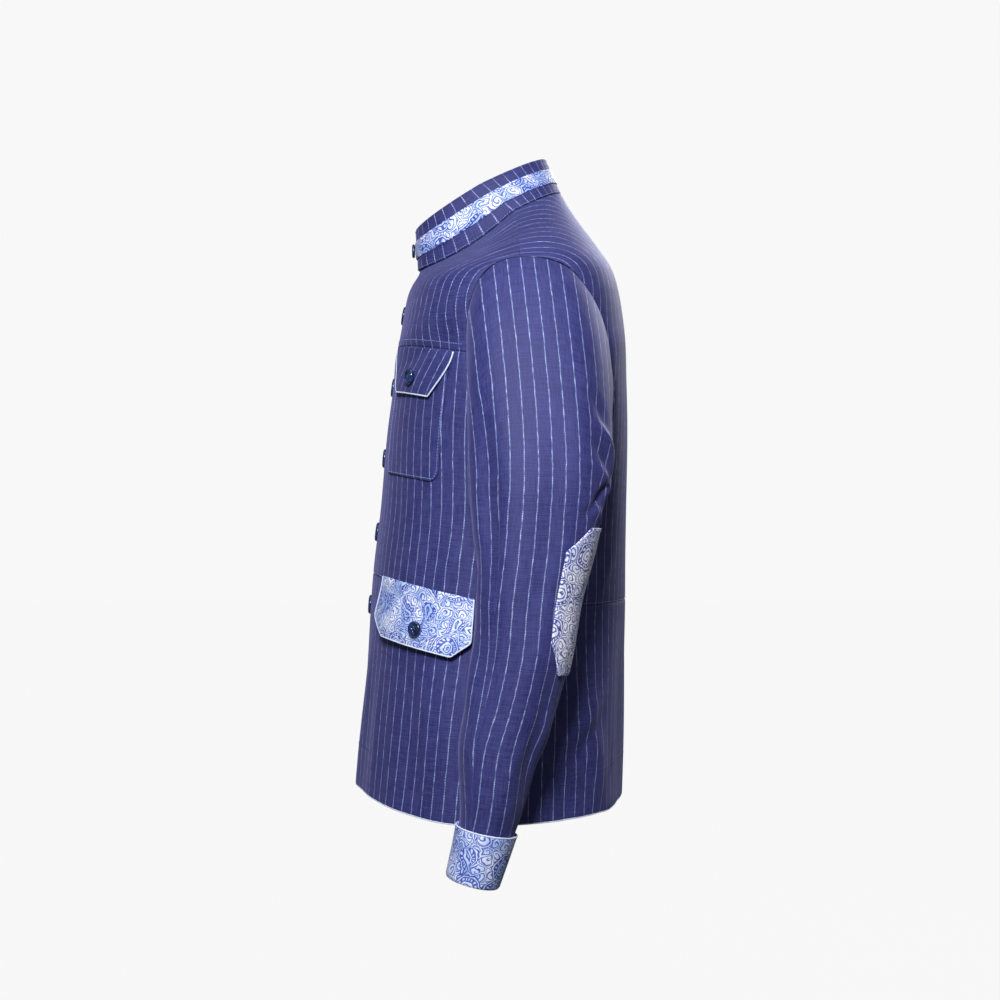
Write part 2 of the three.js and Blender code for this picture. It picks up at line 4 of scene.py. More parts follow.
import bpy
import numpy as np
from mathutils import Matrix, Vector


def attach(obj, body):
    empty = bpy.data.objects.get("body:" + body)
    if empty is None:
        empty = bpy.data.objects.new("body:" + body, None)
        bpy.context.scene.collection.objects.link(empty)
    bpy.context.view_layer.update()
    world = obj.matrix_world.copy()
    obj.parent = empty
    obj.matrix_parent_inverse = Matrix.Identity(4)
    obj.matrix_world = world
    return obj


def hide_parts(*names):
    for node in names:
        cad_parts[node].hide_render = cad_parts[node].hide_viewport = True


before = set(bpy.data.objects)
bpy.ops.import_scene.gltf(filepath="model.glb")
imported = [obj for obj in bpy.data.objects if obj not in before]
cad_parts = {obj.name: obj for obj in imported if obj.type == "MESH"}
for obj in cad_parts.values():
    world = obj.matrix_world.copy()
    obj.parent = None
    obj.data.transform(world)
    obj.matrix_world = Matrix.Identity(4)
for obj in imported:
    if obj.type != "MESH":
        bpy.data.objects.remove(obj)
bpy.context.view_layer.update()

# Safari jacket with a stand collar, filled out with nobody in it. Shapes are worked out in
# millimetres, +Z up, front towards -Y and the wearer's left at +X, and meshes are in metres.

METRES = 0.001
COARSE = 1.0

Ring = namedtuple("Ring", "at w side front back square dip")
Fold = namedtuple("Fold", "turn z turn_end z_end wide rise")
ArmRing = namedtuple("ArmRing", "x y z depth breadth tilt")
LaidCut = namedtuple("LaidCut", "rear width top depth stand")

# Body: w is the half width at the side seam; side, front and back are each a place's Y and
# Z; square is how square the front and the back are; dip is how far the front ring hangs.
BODY_RINGS = [
    Ring("hem", 222, (-32, -631), (-185, -609), (119, -625), (2.15, 2.5), 6),
    Ring("hip", 219, (-27, -510), (-175, -503), (121, -508), (2.15, 2.6), 0),
    Ring("waist", 206, (-22, -403), (-166.5, -372), (123, -401), (2.2, 2.8), 0),
    Ring("ribs", 205, (-17, -305), (-158, -300), (124, -305), (2.2, 3.0), 0),
    Ring("chest", 212, (-12, -230), (-150, -213), (124.5, -215), (2.25, 3.2), 0),
    Ring("armpit", 216, (-9, -180), (-142.5, -159), (123, -158), (2.25, 3.3), 0),
    Ring("yoke", 218, (-5, -144.5), (-137, -118.5), (120.5, -98), (2.25, 3.2), 0),
    Ring("shoulder tip", 222, (1, -42), (-127, -60), (109, -38), (2.2, 2.9), 0),
    Ring("outer shoulder", 192, (0, -21), (-123, -48), (91, -5), (2.15, 2.6), 2),
    Ring("middle shoulder", 146, (-1, 0), (-120, -40), (73, 24), (2.1, 2.3), 5),
    Ring("inner shoulder", 105, (-3, 18), (-117, -32), (60, 46), (2.05, 2.1), 8),
    Ring("neck seam", 68, (-5, 35), (-115, -25), (50.5, 64), (2.0, 2.0), 11),
]
RINGS_UP = len(BODY_RINGS) - 1
NECK = BODY_RINGS[RINGS_UP]

COLLAR_TOP = Ring("collar top", 62, (-42, 67), (-118, 22), (33, 104), (2.0, 2.0), 0)
COLLAR_OVERLAP = 13
COLLAR_BAND = (0.29, 0.69)              # from and to, as shares of the collar's height

# Armhole as the side view shows it, Y and Z, from top to bottom
ARMHOLE_FRONT = [
    (1, -34), (-17, -37), (-37, -51), (-52, -82), (-56, -125), (-50, -178), (-26, -232), (26, -260),
]
ARMHOLE_BACK = [
    (1, -34), (28, -36), (54, -47), (76, -72), (91, -101), (99, -140), (101, -192), (78, -240), (26, -260),
]

# Sleeve below its cap: centre, half sizes along Y and X, and how far its back edge is tilted
ARM_RINGS = [
    ArmRing(267, 17.6, -290, 68, 49, 0),
    ArmRing(270, 13.8, -340, 61, 48, 0),
    ArmRing(272, 7.5, -392, 53, 47, 1),
    ArmRing(274, 2.6, -445, 48.6, 46, 3),
    ArmRing(275, -8, -495, 46, 44, 6),
    ArmRing(275, -22, -545, 40.5, 41, 9),
    ArmRing(274, -28, -595, 33.2, 38, 10),
    ArmRing(273, -33, -622, 28.6, 34.5, 11),
    ArmRing(272, -48, -677, 24.4, 33.6, 14),
]
CUFF_TOP, CUFF_BOTTOM, CUFF_LOOSE, CUFF_THICK = -625, -677, 0.8, 2.4
SLEEVE_END = -664

# Making
WALL = 2.0                              # face cloth, interlining and lining together
SHELL = 1.7                             # the same, a little less so that no inside meets
SEAM = 0.3                              # gap between two pieces that are sewn together
LAYER = 1.4                             # a patch or flap laid on a panel
CLEAR = 0.7                             # what is laid on a curved panel clears it by this
OVERLAP = 20                            # the left front passes the centre by this much
UNDERLAY, UNDERLAY_START, UNDERLAY_END = 3.2, 32, 62    # the right front lies under the left
DIP_WIDE, DIP_DEEP = 30, 2.4            # the buttons draw the centre front in

# Largest folds, the same on both sides. turn is in degrees: on the body from the centre
# front, on a sleeve from its outer side towards the front. rise is out, or in if negative.
BODY_FOLDS = [
    Fold(74, -75, 14, -132, 22, 5), Fold(22, -455, 16, -640, 15, 4), Fold(52, -470, 58, -640, 20, -4),
    Fold(74, -330, 66, -380, 14, 4), Fold(118, -270, 126, -400, 18, 5), Fold(128, -500, 142, -640, 17, 5),
    Fold(152, -430, 158, -640, 20, -4),
]
SLEEVE_FOLDS = [
    Fold(30, -200, 20, -470, 15, 3.5), Fold(88, -430, 62, -500, 15, 4), Fold(-70, -235, -110, -290, 15, 4),
    Fold(75, -340, 110, -400, 15, -4), Fold(-40, -505, -95, -550, 15, 4),
]
BODY_TURN, SLEEVE_TURN = 3.2, 0.95      # millimetres for a degree

# Finer creases, by side. On the body a turn below nought is on the wearer's right.
BODY_CREASES = [
    Fold(66, -110, 30, -150, 10, -1.6), Fold(48, -62, 20, -96, 9, 1.3), Fold(60, -190, 55, -300, 11, 1.5),
    Fold(36, -250, 40, -365, 9, -1.1), Fold(14, -430, 11, -600, 7, -1.5), Fold(34, -480, 33, -620, 12, 1.8),
    Fold(70, -500, 74, -640, 11, 1.7), Fold(86, -430, 92, -600, 9, -1.8),
    Fold(108, -430, 100, -520, 10, 1.8), Fold(112, -540, 124, -650, 8, -1.8),
    Fold(134, -280, 128, -360, 10, -1.7), Fold(142, -340, 130, -400, 8, 1.4),
    Fold(150, -90, 128, -170, 14, 1.8), Fold(166, -190, 164, -380, 16, -1.3),
    Fold(146, -560, 136, -640, 8, -1.6), Fold(170, -480, 172, -640, 13, 1.6),
    Fold(136, -498, 120, -546, 9, 2.6), Fold(138, -522, 122, -566, 8, -2.6),
    Fold(-64, -104, -34, -158, 11, -1.5), Fold(-50, -70, -24, -92, 8, 1.2),
    Fold(-57, -205, -60, -310, 10, 1.6), Fold(-38, -270, -34, -360, 10, -1.2),
    Fold(-36, -470, -30, -610, 11, 1.6), Fold(-66, -520, -73, -640, 12, 1.8),
    Fold(-88, -450, -84, -590, 9, -1.7), Fold(-104, -440, -112, -530, 10, 1.7),
    Fold(-118, -560, -110, -650, 9, -1.7), Fold(-136, -270, -124, -370, 11, -1.6),
    Fold(-148, -100, -130, -160, 13, 1.7), Fold(-162, -210, -166, -370, 15, -1.4),
    Fold(-150, -550, -140, -640, 8, -1.5), Fold(-173, -500, -168, -640, 12, 1.5),
    Fold(-132, -506, -118, -550, 9, 2.4), Fold(-134, -532, -120, -572, 8, -2.5),
]
SLEEVE_CREASES = {
    "left": [
        Fold(47, -196, 49, -376, 12, -8.0), Fold(50, -150, 56, -330, 12, 2.0),
        Fold(-14, -160, -10, -430, 12, -1.7), Fold(-44, -120, -34, -330, 13, 1.6),
        Fold(-30, -330, -12, -480, 11, 1.5), Fold(62, -300, 48, -390, 8, 1.8),
        Fold(-50, -212, -86, -242, 5, 4.4), Fold(-48, -232, -86, -264, 5, -4.8),
        Fold(-50, -254, -88, -282, 5, 4.4), Fold(-86, -266, -50, -304, 5, -4.6),
        Fold(-52, -292, -88, -316, 5, 3.8), Fold(-42, -180, -70, -216, 6, -3.0),
        Fold(-92, -200, -86, -300, 8, 2.4), Fold(-100, -330, -120, -380, 9, -2.2),
        Fold(10, -450, 2, -610, 9, -1.6), Fold(-30, -540, -10, -600, 8, 1.6),
        Fold(50, -520, 40, -610, 9, 1.5), Fold(-60, -560, -80, -600, 7, -1.8),
        Fold(90, -250, 120, -330, 12, 2.5), Fold(130, -420, 160, -480, 12, -2.4),
        Fold(-140, -450, -170, -520, 12, 2.2), Fold(18, -60, 34, -150, 12, 1.2),
        Fold(-40, -60, -58, -160, 12, 1.3), Fold(-42, -470, -58, -596, 12, -4.0),
        Fold(8, -250, 2, -400, 14, 1.6),
    ],
    "right": [
        Fold(46, -200, 48, -370, 12, -7.6), Fold(52, -160, 54, -320, 12, 1.8),
        Fold(-12, -175, -14, -420, 12, -1.6), Fold(-40, -130, -38, -320, 13, 1.6),
        Fold(-26, -350, -14, -470, 11, 1.6), Fold(-50, -208, -84, -238, 5, -4.4),
        Fold(-50, -230, -86, -258, 5, 4.6), Fold(-52, -252, -86, -282, 5, -4.6),
        Fold(-86, -288, -54, -322, 5, 4.2), Fold(-90, -210, -84, -310, 8, 2.3),
        Fold(-104, -340, -116, -390, 9, -2.2), Fold(12, -460, 4, -600, 9, -1.6),
        Fold(-28, -530, -12, -604, 8, 1.5), Fold(54, -510, 42, -600, 9, 1.5),
        Fold(88, -260, 116, -340, 12, 2.4), Fold(128, -430, 156, -490, 12, -2.3),
        Fold(-142, -440, -168, -530, 12, 2.2), Fold(-40, -474, -56, -592, 12, -3.8),
        Fold(10, -260, 4, -390, 14, 1.5),
    ],
}


def mix(a, b, share):
    return a + (b - a) * share


def smooth(x, low, high):
    share = np.clip((x - low) / (high - low), 0, 1)
    return share * share * (3 - 2 * share)


def unit(vectors):
    return vectors / np.linalg.norm(vectors, axis=-1, keepdims=True)


def gone_along(points):
    """How far along a row of points each of them lies."""
    return np.concatenate([[0], np.cumsum(np.linalg.norm(np.diff(points, axis=0), axis=1))])


def level_of(at):
    return [ring.at for ring in BODY_RINGS].index(at) / RINGS_UP


YOKE, WAIST = level_of("yoke"), level_of("waist")


def curve_through(points, closed=False):
    """A centripetal curve through the points, as a function of 0 to 1."""
    points = np.asarray(points, float)
    if closed:
        knots = np.vstack([points[-1], points, points[0], points[1]])
    else:
        knots = np.vstack([2 * points[0] - points[1], points, 2 * points[-1] - points[-2]])
    spans = len(knots) - 3

    def gap(a, b):
        return np.maximum(np.sum((b - a) ** 2, -1) ** 0.25, 1e-4)[..., None]

    def at(t):
        place = np.clip(np.asarray(t, float), 0, 1) * spans
        i = np.minimum(place.astype(int), spans - 1)
        w = (place - i)[..., None]
        x0, x1, x2, x3 = (knots[i + k] for k in range(4))
        d0, d1, d2 = gap(x0, x1), gap(x1, x2), gap(x2, x3)
        leave = ((x1 - x0) / d0 - (x2 - x0) / (d0 + d1) + (x2 - x1) / d1) * d1
        arrive = ((x2 - x1) / d1 - (x3 - x1) / (d1 + d2) + (x3 - x2) / d2) * d1
        bend = -3 * x1 + 3 * x2 - 2 * leave - arrive
        return x1 + leave * w + bend * w ** 2 + (2 * x1 - 2 * x2 + leave + arrive) * w ** 3
    return at


side_curve = curve_through([(r.w, *r.side) for r in BODY_RINGS])
front_curve = curve_through([(r.dip, *r.front) for r in BODY_RINGS])
back_curve = curve_through([(0, *r.back) for r in BODY_RINGS])
square_curve = curve_through([(*r.square, i) for i, r in enumerate(BODY_RINGS)])
arm_centre = curve_through([(r.x, r.y, r.z) for r in ARM_RINGS])
arm_size = curve_through([(r.breadth, r.depth, r.tilt) for r in ARM_RINGS])


def ring_point(side, front, back, dip, squares, turn):
    """A point of a body or collar ring; turn is in radians from the centre front."""
    across, along = np.sin(turn), np.cos(turn)
    is_front = along >= 0
    square = np.where(is_front, squares[..., 0], squares[..., 1])
    reach = (np.abs(across) ** square + np.abs(along) ** square) ** (-1 / square)
    share = np.abs(along) * reach
    end = np.where(is_front[..., None], front, back)
    hang = np.where(is_front, 4 * dip * share * (1 - share), 0)
    return np.stack([
        side[..., 0] * across * reach,
        mix(side[..., 1], end[..., 1], share),
        mix(side[..., 2], end[..., 2], share) - hang,
    ], -1)


def other_share(share, square):
    return (1 - np.abs(share) ** square) ** (1 / square)


def fold_height(folds, degrees, z, turn_length):
    height = np.zeros(np.shape(z))
    for fold in folds:
        start = np.array([fold.turn * turn_length, fold.z])
        line = np.array([fold.turn_end * turn_length, fold.z_end]) - start
        x, y = degrees * turn_length - start[0], z - start[1]
        share = np.clip((x * line[0] + y * line[1]) / (line @ line), 0, 1)
        away = np.hypot(x - line[0] * share, y - line[1] * share) / fold.wide
        height = height + fold.rise * np.exp(-away ** 2) * np.sin(np.pi * mix(0.12, 0.88, share))
    return height


def outward(surface, u, v, step=8e-3):
    """The direction out of a surface, from how its point moves with its two values."""
    along_u = surface(u + step, v) - surface(u - step, v)
    along_v = surface(u, v + step) - surface(u, v - step)
    return unit(np.cross(along_u, along_v))


def body_plain(turn, level):
    level = np.clip(level, 0, 1) + 0 * turn
    front = front_curve(level)
    return ring_point(
        side_curve(level), front, back_curve(level), front[..., 0], square_curve(level), turn + 0 * level,
    )


def body_point(turn, level):
    """The body's outer side: turn in radians from the centre front, level from hem to neck."""
    level = np.clip(level, 0, 1) + 0 * turn
    turn = turn + 0 * level
    point = body_plain(turn, level)
    degrees = np.degrees(turn)
    degrees = np.where(degrees > 180, degrees - 360, degrees)
    dip = np.where(np.abs(degrees) < 90, DIP_DEEP * np.exp(-(point[..., 0] / DIP_WIDE) ** 2), 0)
    height = fold_height(BODY_FOLDS, np.abs(degrees), point[..., 2], BODY_TURN)
    height = height + fold_height(BODY_CREASES, degrees, point[..., 2], BODY_TURN) - dip
    return point + outward(body_plain, turn, level) * height[..., None]


def bisect(low, high, passes, like=0.0):
    """Finds where a rising function passes a value, for each item of like."""
    low, high = low + 0 * like, high + 0 * like
    for _ in range(36):
        middle = (low + high) / 2
        past = passes(middle)
        low, high = np.where(past, low, middle), np.where(past, middle, high)
    return (low + high) / 2


def level_at_height(turn, z):
    like = np.asarray(turn + 0 * z, float)
    return bisect(0.0, 1.0, lambda level: body_plain(turn, level)[..., 2] > z, like)


def turn_at_x(level, x):
    across = x / side_curve(level)[..., 0]
    return np.arctan2(across, other_share(across, square_curve(level)[..., 0]))


def side_at(y, z):
    """The body's side, as X, at a place seen from the side."""
    def turn_here(level):
        side, squares = side_curve(level), square_curve(level)
        is_front = y < side[..., 1]
        end = np.where(is_front, front_curve(level)[..., 1], back_curve(level)[..., 1])
        share = np.minimum(1, (y - side[..., 1]) / (end - side[..., 1]))
        turn = np.arctan2(other_share(share, np.where(is_front, squares[..., 0], squares[..., 1])), share)
        return np.where(is_front, turn, np.pi - turn)
    level = bisect(0.2, 0.9, lambda value: body_plain(turn_here(value), value)[..., 2] > z, 0.0 * y)
    return body_plain(turn_here(level), level)[..., 0]


def walk_forward(level, turn, length):
    """Goes a length round the body from a turn, towards the centre front."""
    strides = np.radians(np.arange(0, 130, 0.5))
    level, length = np.broadcast_arrays(np.asarray(level, float), np.asarray(length, float))
    shape = level.shape
    found = []
    for one, wanted in zip(level.ravel(), length.ravel()):
        points = body_plain(turn - strides, np.full(strides.shape, one))
        found.append(turn - np.interp(wanted, gone_along(points), strides))
    return np.array(found).reshape(shape)


# Sleeve: value u goes once round from the outer side by the front, and v is 0 to 1 in the
# cap, then 1 to 2 down the arm.

def spaced(points, count):
    """The points of a curve through a table, the same distance apart."""
    fine = curve_through([(0, *p) for p in points])(np.linspace(0, 1, 401))
    gone = gone_along(fine)
    places = np.linspace(0, gone[-1], count + 1)
    return np.stack([np.interp(places, gone, fine[:, k]) for k in range(3)], -1)


def armhole_outline(count):
    """Closed row of places, from the top, down the front and up the back."""
    return np.vstack([spaced(ARMHOLE_FRONT, count // 2)[:-1], spaced(ARMHOLE_BACK, count // 2)[::-1][:-1]])


ARMHOLE_MIDDLE = np.array([0, 24, -147])
ARMHOLE_TOP, ARMHOLE_FOOT = -34, -260
CAP_LEAVES, CAP_DROPS = (90, 160), 40   # how strongly it stands out at its foot and top, and turns down
SLEEVE_SEAT = SEAM + 0.45               # the sleeve starts this far inside the armhole
armhole = armhole_outline(24)
seat = armhole + unit(ARMHOLE_MIDDLE - armhole) * SLEEVE_SEAT
seat[:, 0] = side_at(armhole[:, 1], armhole[:, 2]) - WALL
armhole_loop = curve_through(seat, closed=True)


def arm_point(u, share):
    centre, size = arm_centre(share), arm_size(share)
    turn = u * 2 * np.pi
    y = -size[..., 1] * np.sin(turn)
    return np.stack([
        centre[..., 0] + size[..., 0] * np.cos(turn),
        centre[..., 1] + y,
        centre[..., 2] - y * np.tan(np.radians(size[..., 2])),
    ], -1)


def sleeve_plain(u, v):
    u, v = np.broadcast_arrays(np.asarray(u, float), np.asarray(v, float))
    around = u - np.floor(u)
    share = np.clip(v, 0, 1)[..., None]
    start, end = armhole_loop(around), arm_point(around, 0 * around)
    down = unit(arm_point(around, 0 * around + 0.01) - end)
    height = (start[..., 2] - ARMHOLE_FOOT) / (ARMHOLE_TOP - ARMHOLE_FOOT)
    leave = np.stack([mix(*CAP_LEAVES, height), 0 * height, -CAP_DROPS * smooth(height, 0.7, 1)], -1)
    arrive = down * (np.abs(end[..., 2] - start[..., 2]) * 0.85 + 12)[..., None]
    s2, s3 = share ** 2, share ** 3
    cap = start * (2 * s3 - 3 * s2 + 1) + leave * (s3 - 2 * s2 + share)
    cap = cap + end * (3 * s2 - 2 * s3) + arrive * (s3 - s2)
    return np.where((v >= 1)[..., None], arm_point(around, np.clip(v - 1, 0, 1)), cap)


def sleeve_surface(side):
    def at(u, v):
        v = np.maximum(v, 0)
        point = sleeve_plain(u, v)
        around = u - np.floor(u)
        degrees = np.where(around > 0.5, around - 1, around) * 360
        height = fold_height(SLEEVE_FOLDS, degrees, point[..., 2], SLEEVE_TURN)
        fine = fold_height(SLEEVE_CREASES[side], degrees, point[..., 2], SLEEVE_TURN)
        height = height * (v >= 0.4) + fine * smooth(v, 0.15, 0.5)
        return point + outward(sleeve_plain, u, v) * height[..., None]
    return at


def arm_value_at(z):
    return 1 + bisect(0.0, 1.0, lambda share: arm_centre(share)[..., 2] < z, np.asarray(0.0 * z))


def collar_point(u, v):
    """The collar's outer side: u is the turn from the centre front, and v goes up from the neck seam."""
    u, v = np.broadcast_arrays(np.asarray(u, float), np.clip(np.asarray(v, float), 0, 1))

    def between(low_x, high_x, low, high):
        return mix(np.array([low_x, *low], float), np.array([high_x, *high], float), v[..., None])
    squares = np.zeros(v.shape + (2,)) + 2.0
    return ring_point(
        between(NECK.w, COLLAR_TOP.w, NECK.side, COLLAR_TOP.side),
        between(0, 0, NECK.front, COLLAR_TOP.front), between(0, 0, NECK.back, COLLAR_TOP.back),
        NECK.dip * (1 - v) ** 2, squares, u,
    )


def shares(length, step, fine=(0.6, 1.5, 2.8)):
    """Shares of a side at even steps, with closer lines beside both of its ends."""
    even = np.linspace(0, 1, max(2, round(length / (step * COARSE))) + 1)
    near = np.array(fine) / length
    middle = even[(even > near[-1] * 1.4) & (even < 1 - near[-1] * 1.4)]
    return np.concatenate([[0], near, middle, 1 - near[::-1], [1]])


def grain_lookup(surface, us, vs, middle, flat_part=None):
    """How far a place lies across and along the cloth from its middle line, in millimetres."""
    points = surface(us[:, None], vs[None, :])
    step = np.diff(points, axis=0)
    if flat_part is not None:
        step = step * flat_part
    across = np.concatenate([0 * points[:1, :, 0], np.cumsum(np.linalg.norm(step, axis=-1), axis=0)])
    at_middle = np.array([np.interp(middle, us, across[:, j]) for j in range(len(vs))])
    across = across - at_middle
    along = gone_along(surface(np.full(len(vs), middle), vs))

    def at(u, v):
        i, j = np.interp(u, us, np.arange(len(us))), np.interp(v, vs, np.arange(len(vs)))
        i0, j0 = np.minimum(i.astype(int), len(us) - 2), np.minimum(j.astype(int), len(vs) - 2)
        a = mix(across[i0, j0], across[i0 + 1, j0], i - i0)
        b = mix(across[i0, j0 + 1], across[i0 + 1, j0 + 1], i - i0)
        return np.stack([mix(a, b, j - j0), np.interp(v, vs, along)], -1)
    return at


LEVELS = np.linspace(0, 1, 111)
front_cloth = grain_lookup(body_plain, np.radians(np.linspace(-20, 90, 111)), LEVELS, 0.0)
back_cloth = grain_lookup(body_plain, np.radians(np.linspace(90, 270, 181)), LEVELS, math.pi)
FLAT = np.array([1, 1, 0.0])            # a step's part that lies across a hanging sleeve
SHOULDER_SHIFT = 8                      # the stripes over the shoulder lie this much further out
sleeve_cloth = grain_lookup(sleeve_plain, np.linspace(-0.62, 0.62, 125), np.linspace(0, 2, 121), 0.0, FLAT)


def body_grain(turn, level):
    """Round the ring below the yoke seam; above it the stripes go straight on over the shoulder."""
    lookup, middle = (front_cloth, 0.0) if np.mean(turn) < math.pi / 2 else (back_cloth, math.pi)
    grain = lookup(turn, level)
    x = np.abs(body_plain(turn, level)[..., 0])
    turns = np.linspace(middle, math.pi / 2, 91)
    ring = body_plain(turns, np.full(91, YOKE))
    round_ring = np.interp(x, ring[:, 0], gone_along(ring))
    straight = mix(round_ring, x + SHOULDER_SHIFT, smooth(level, YOKE, level_of("outer shoulder")))
    grain[..., 0] = np.where(level > YOKE, np.sign(grain[..., 0]) * straight, grain[..., 0])
    return grain


SLEEVE_SEAM = 0.098                     # where the front seam of the sleeve runs, as a value u
FOREARM_FRONT = 0.27                    # the middle of the cloth in front of that seam


def sleeve_grain(u, v):
    """The front part of a sleeve is its own piece of cloth, so its stripes run into the seam."""
    grain = sleeve_cloth(u, v)
    from_front = grain[..., 0] - sleeve_cloth(0 * u + FOREARM_FRONT, v)[..., 0]
    under = smooth(v, 0.75, 1.0) * (u > SLEEVE_SEAM)
    top = sleeve_cloth(0 * u + FOREARM_FRONT, 0 * v + 1.0)[..., 0]
    grain[..., 0] = mix(grain[..., 0], from_front + top, under)
    return grain


def grid_cells(columns, rows):
    i, j = np.arange(columns - 1)[:, None] * rows, np.arange(rows - 1)
    corner = i + j
    return np.stack([corner, corner + rows, corner + rows + 1, corner + 1], -1).reshape(-1, 4)


def trimmed(cells, values, inside):
    """Cuts the cells along the line where inside passes nought, and keeps the positive part."""
    kept = inside[cells] > 0
    faces = cells[kept.all(1)].tolist()
    cuts = {}
    for cell in cells[kept.any(1) & ~kept.all(1)].tolist():
        face = []
        for a, b in zip(cell, cell[1:] + cell[:1]):
            if inside[a] > 0:
                face.append(a)
            if (inside[a] > 0) != (inside[b] > 0):
                low, high = min(a, b), max(a, b)
                if (low, high) not in cuts:
                    share = inside[low] / (inside[low] - inside[high])
                    cuts[low, high] = (len(values) + len(cuts), mix(values[low], values[high], share))
                face.append(cuts[low, high][0])
        faces.append(face)
    values = np.vstack([values] + [value for _, value in cuts.values()])
    used = np.unique(np.concatenate([np.array(face) for face in faces]))
    renumbered = np.zeros(len(values), int)
    renumbered[used] = np.arange(len(used))
    return [[int(renumbered[k]) for k in face] for face in faces], values[used]


def link_object(name, data):
    thing = bpy.data.objects.new(name, data)
    bpy.context.scene.collection.objects.link(thing)
    return thing


def make_object(name, points, faces, finish, grain=None):
    """A mesh object, from points in millimetres, shaded smooth; grain is its UV map, in millimetres."""
    mesh = bpy.data.meshes.new(name)
    mesh.from_pydata((np.asarray(points) * METRES).tolist(), [], faces)
    if grain is not None:
        corners = np.empty(len(mesh.loops), np.int32)
        mesh.loops.foreach_get("vertex_index", corners)
        layer = mesh.uv_layers.new(name="Grain")
        layer.data.foreach_set("uv", grain[corners].astype(np.float32).ravel())
    mesh.shade_smooth()
    mesh.materials.append(finish)
    thing = link_object(name, mesh)
    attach(thing, "root")
    return thing


def cloth_piece(node, surface, u, v, lift, thick, grain, finish, inside=None, mirror=False):
    """A thin closed shell of cloth over a grid of a surface's two values. lift is how far its
    outer side stands off the surface."""
    values = np.stack([u, v, lift, grain[..., 0], grain[..., 1]], -1).reshape(-1, 5)
    cells = grid_cells(*u.shape)
    if inside is None:
        faces = cells.tolist()
    else:
        faces, values = trimmed(cells, values, inside.ravel())
    out = outward(surface, values[:, 0], values[:, 1])
    outer = surface(values[:, 0], values[:, 1]) + out * values[:, 2:3]
    inner = outer - out * thick
    flip = np.array([-1, 1, 1]) if mirror else 1
    count = len(values)
    edges = {(a, b) for face in faces for a, b in zip(face, face[1:] + face[:1])}
    rim = [[b, a, a + count, b + count] for a, b in edges if (b, a) not in edges]
    everything = faces + [[k + count for k in reversed(face)] for face in faces] + sorted(rim)
    if mirror:
        everything = [face[::-1] for face in everything]
    thing = make_object(
        node + "_cloth", np.vstack([outer, inner]) * flip, everything, finish, np.vstack([values[:, 3:]] * 2),
    )
    grid = surface(u, v)
    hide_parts(node)


def edge_roll(from_edge, deep=0.7, wide=1.4):
    """How far a seam draws the cloth in, at a distance from the edge."""
    return -deep * np.exp(-(from_edge / wide) ** 2)


def from_rim(i, j, width, height):
    """How far a place lies from the nearest edge; i and j are its shares of the two sides."""
    return np.minimum(np.minimum(i, 1 - i) * width, np.minimum(j, 1 - j) * height)


# Materials


def colour(code):
    """An sRGB hex colour as Blender's linear one."""
    parts = [int(code[k:k + 2], 16) / 255 for k in (1, 3, 5)]
    return [p / 12.92 if p <= 0.04045 else ((p + 0.055) / 1.055) ** 2.4 for p in parts] + [1.0]


def feed(tree, node, inputs):
    """Sets or links a node's inputs."""
    for name, value in inputs.items():
        if isinstance(value, bpy.types.NodeSocket):
            tree.links.new(value, node.inputs[name])
        else:
            node.inputs[name].default_value = value


def add(tree, kind, inputs, output=0, **settings):
    """Adds a shader node with its settings, and sets or links its inputs."""
    node = tree.nodes.new("ShaderNode" + kind)
    for name, value in settings.items():
        setattr(node, name, value)
    feed(tree, node, inputs)
    return node.outputs[output]


def start_material(name):
    material = bpy.data.materials.new(name)
    material.use_nodes = True
    return material, material.node_tree, material.node_tree.nodes["Principled BSDF"]


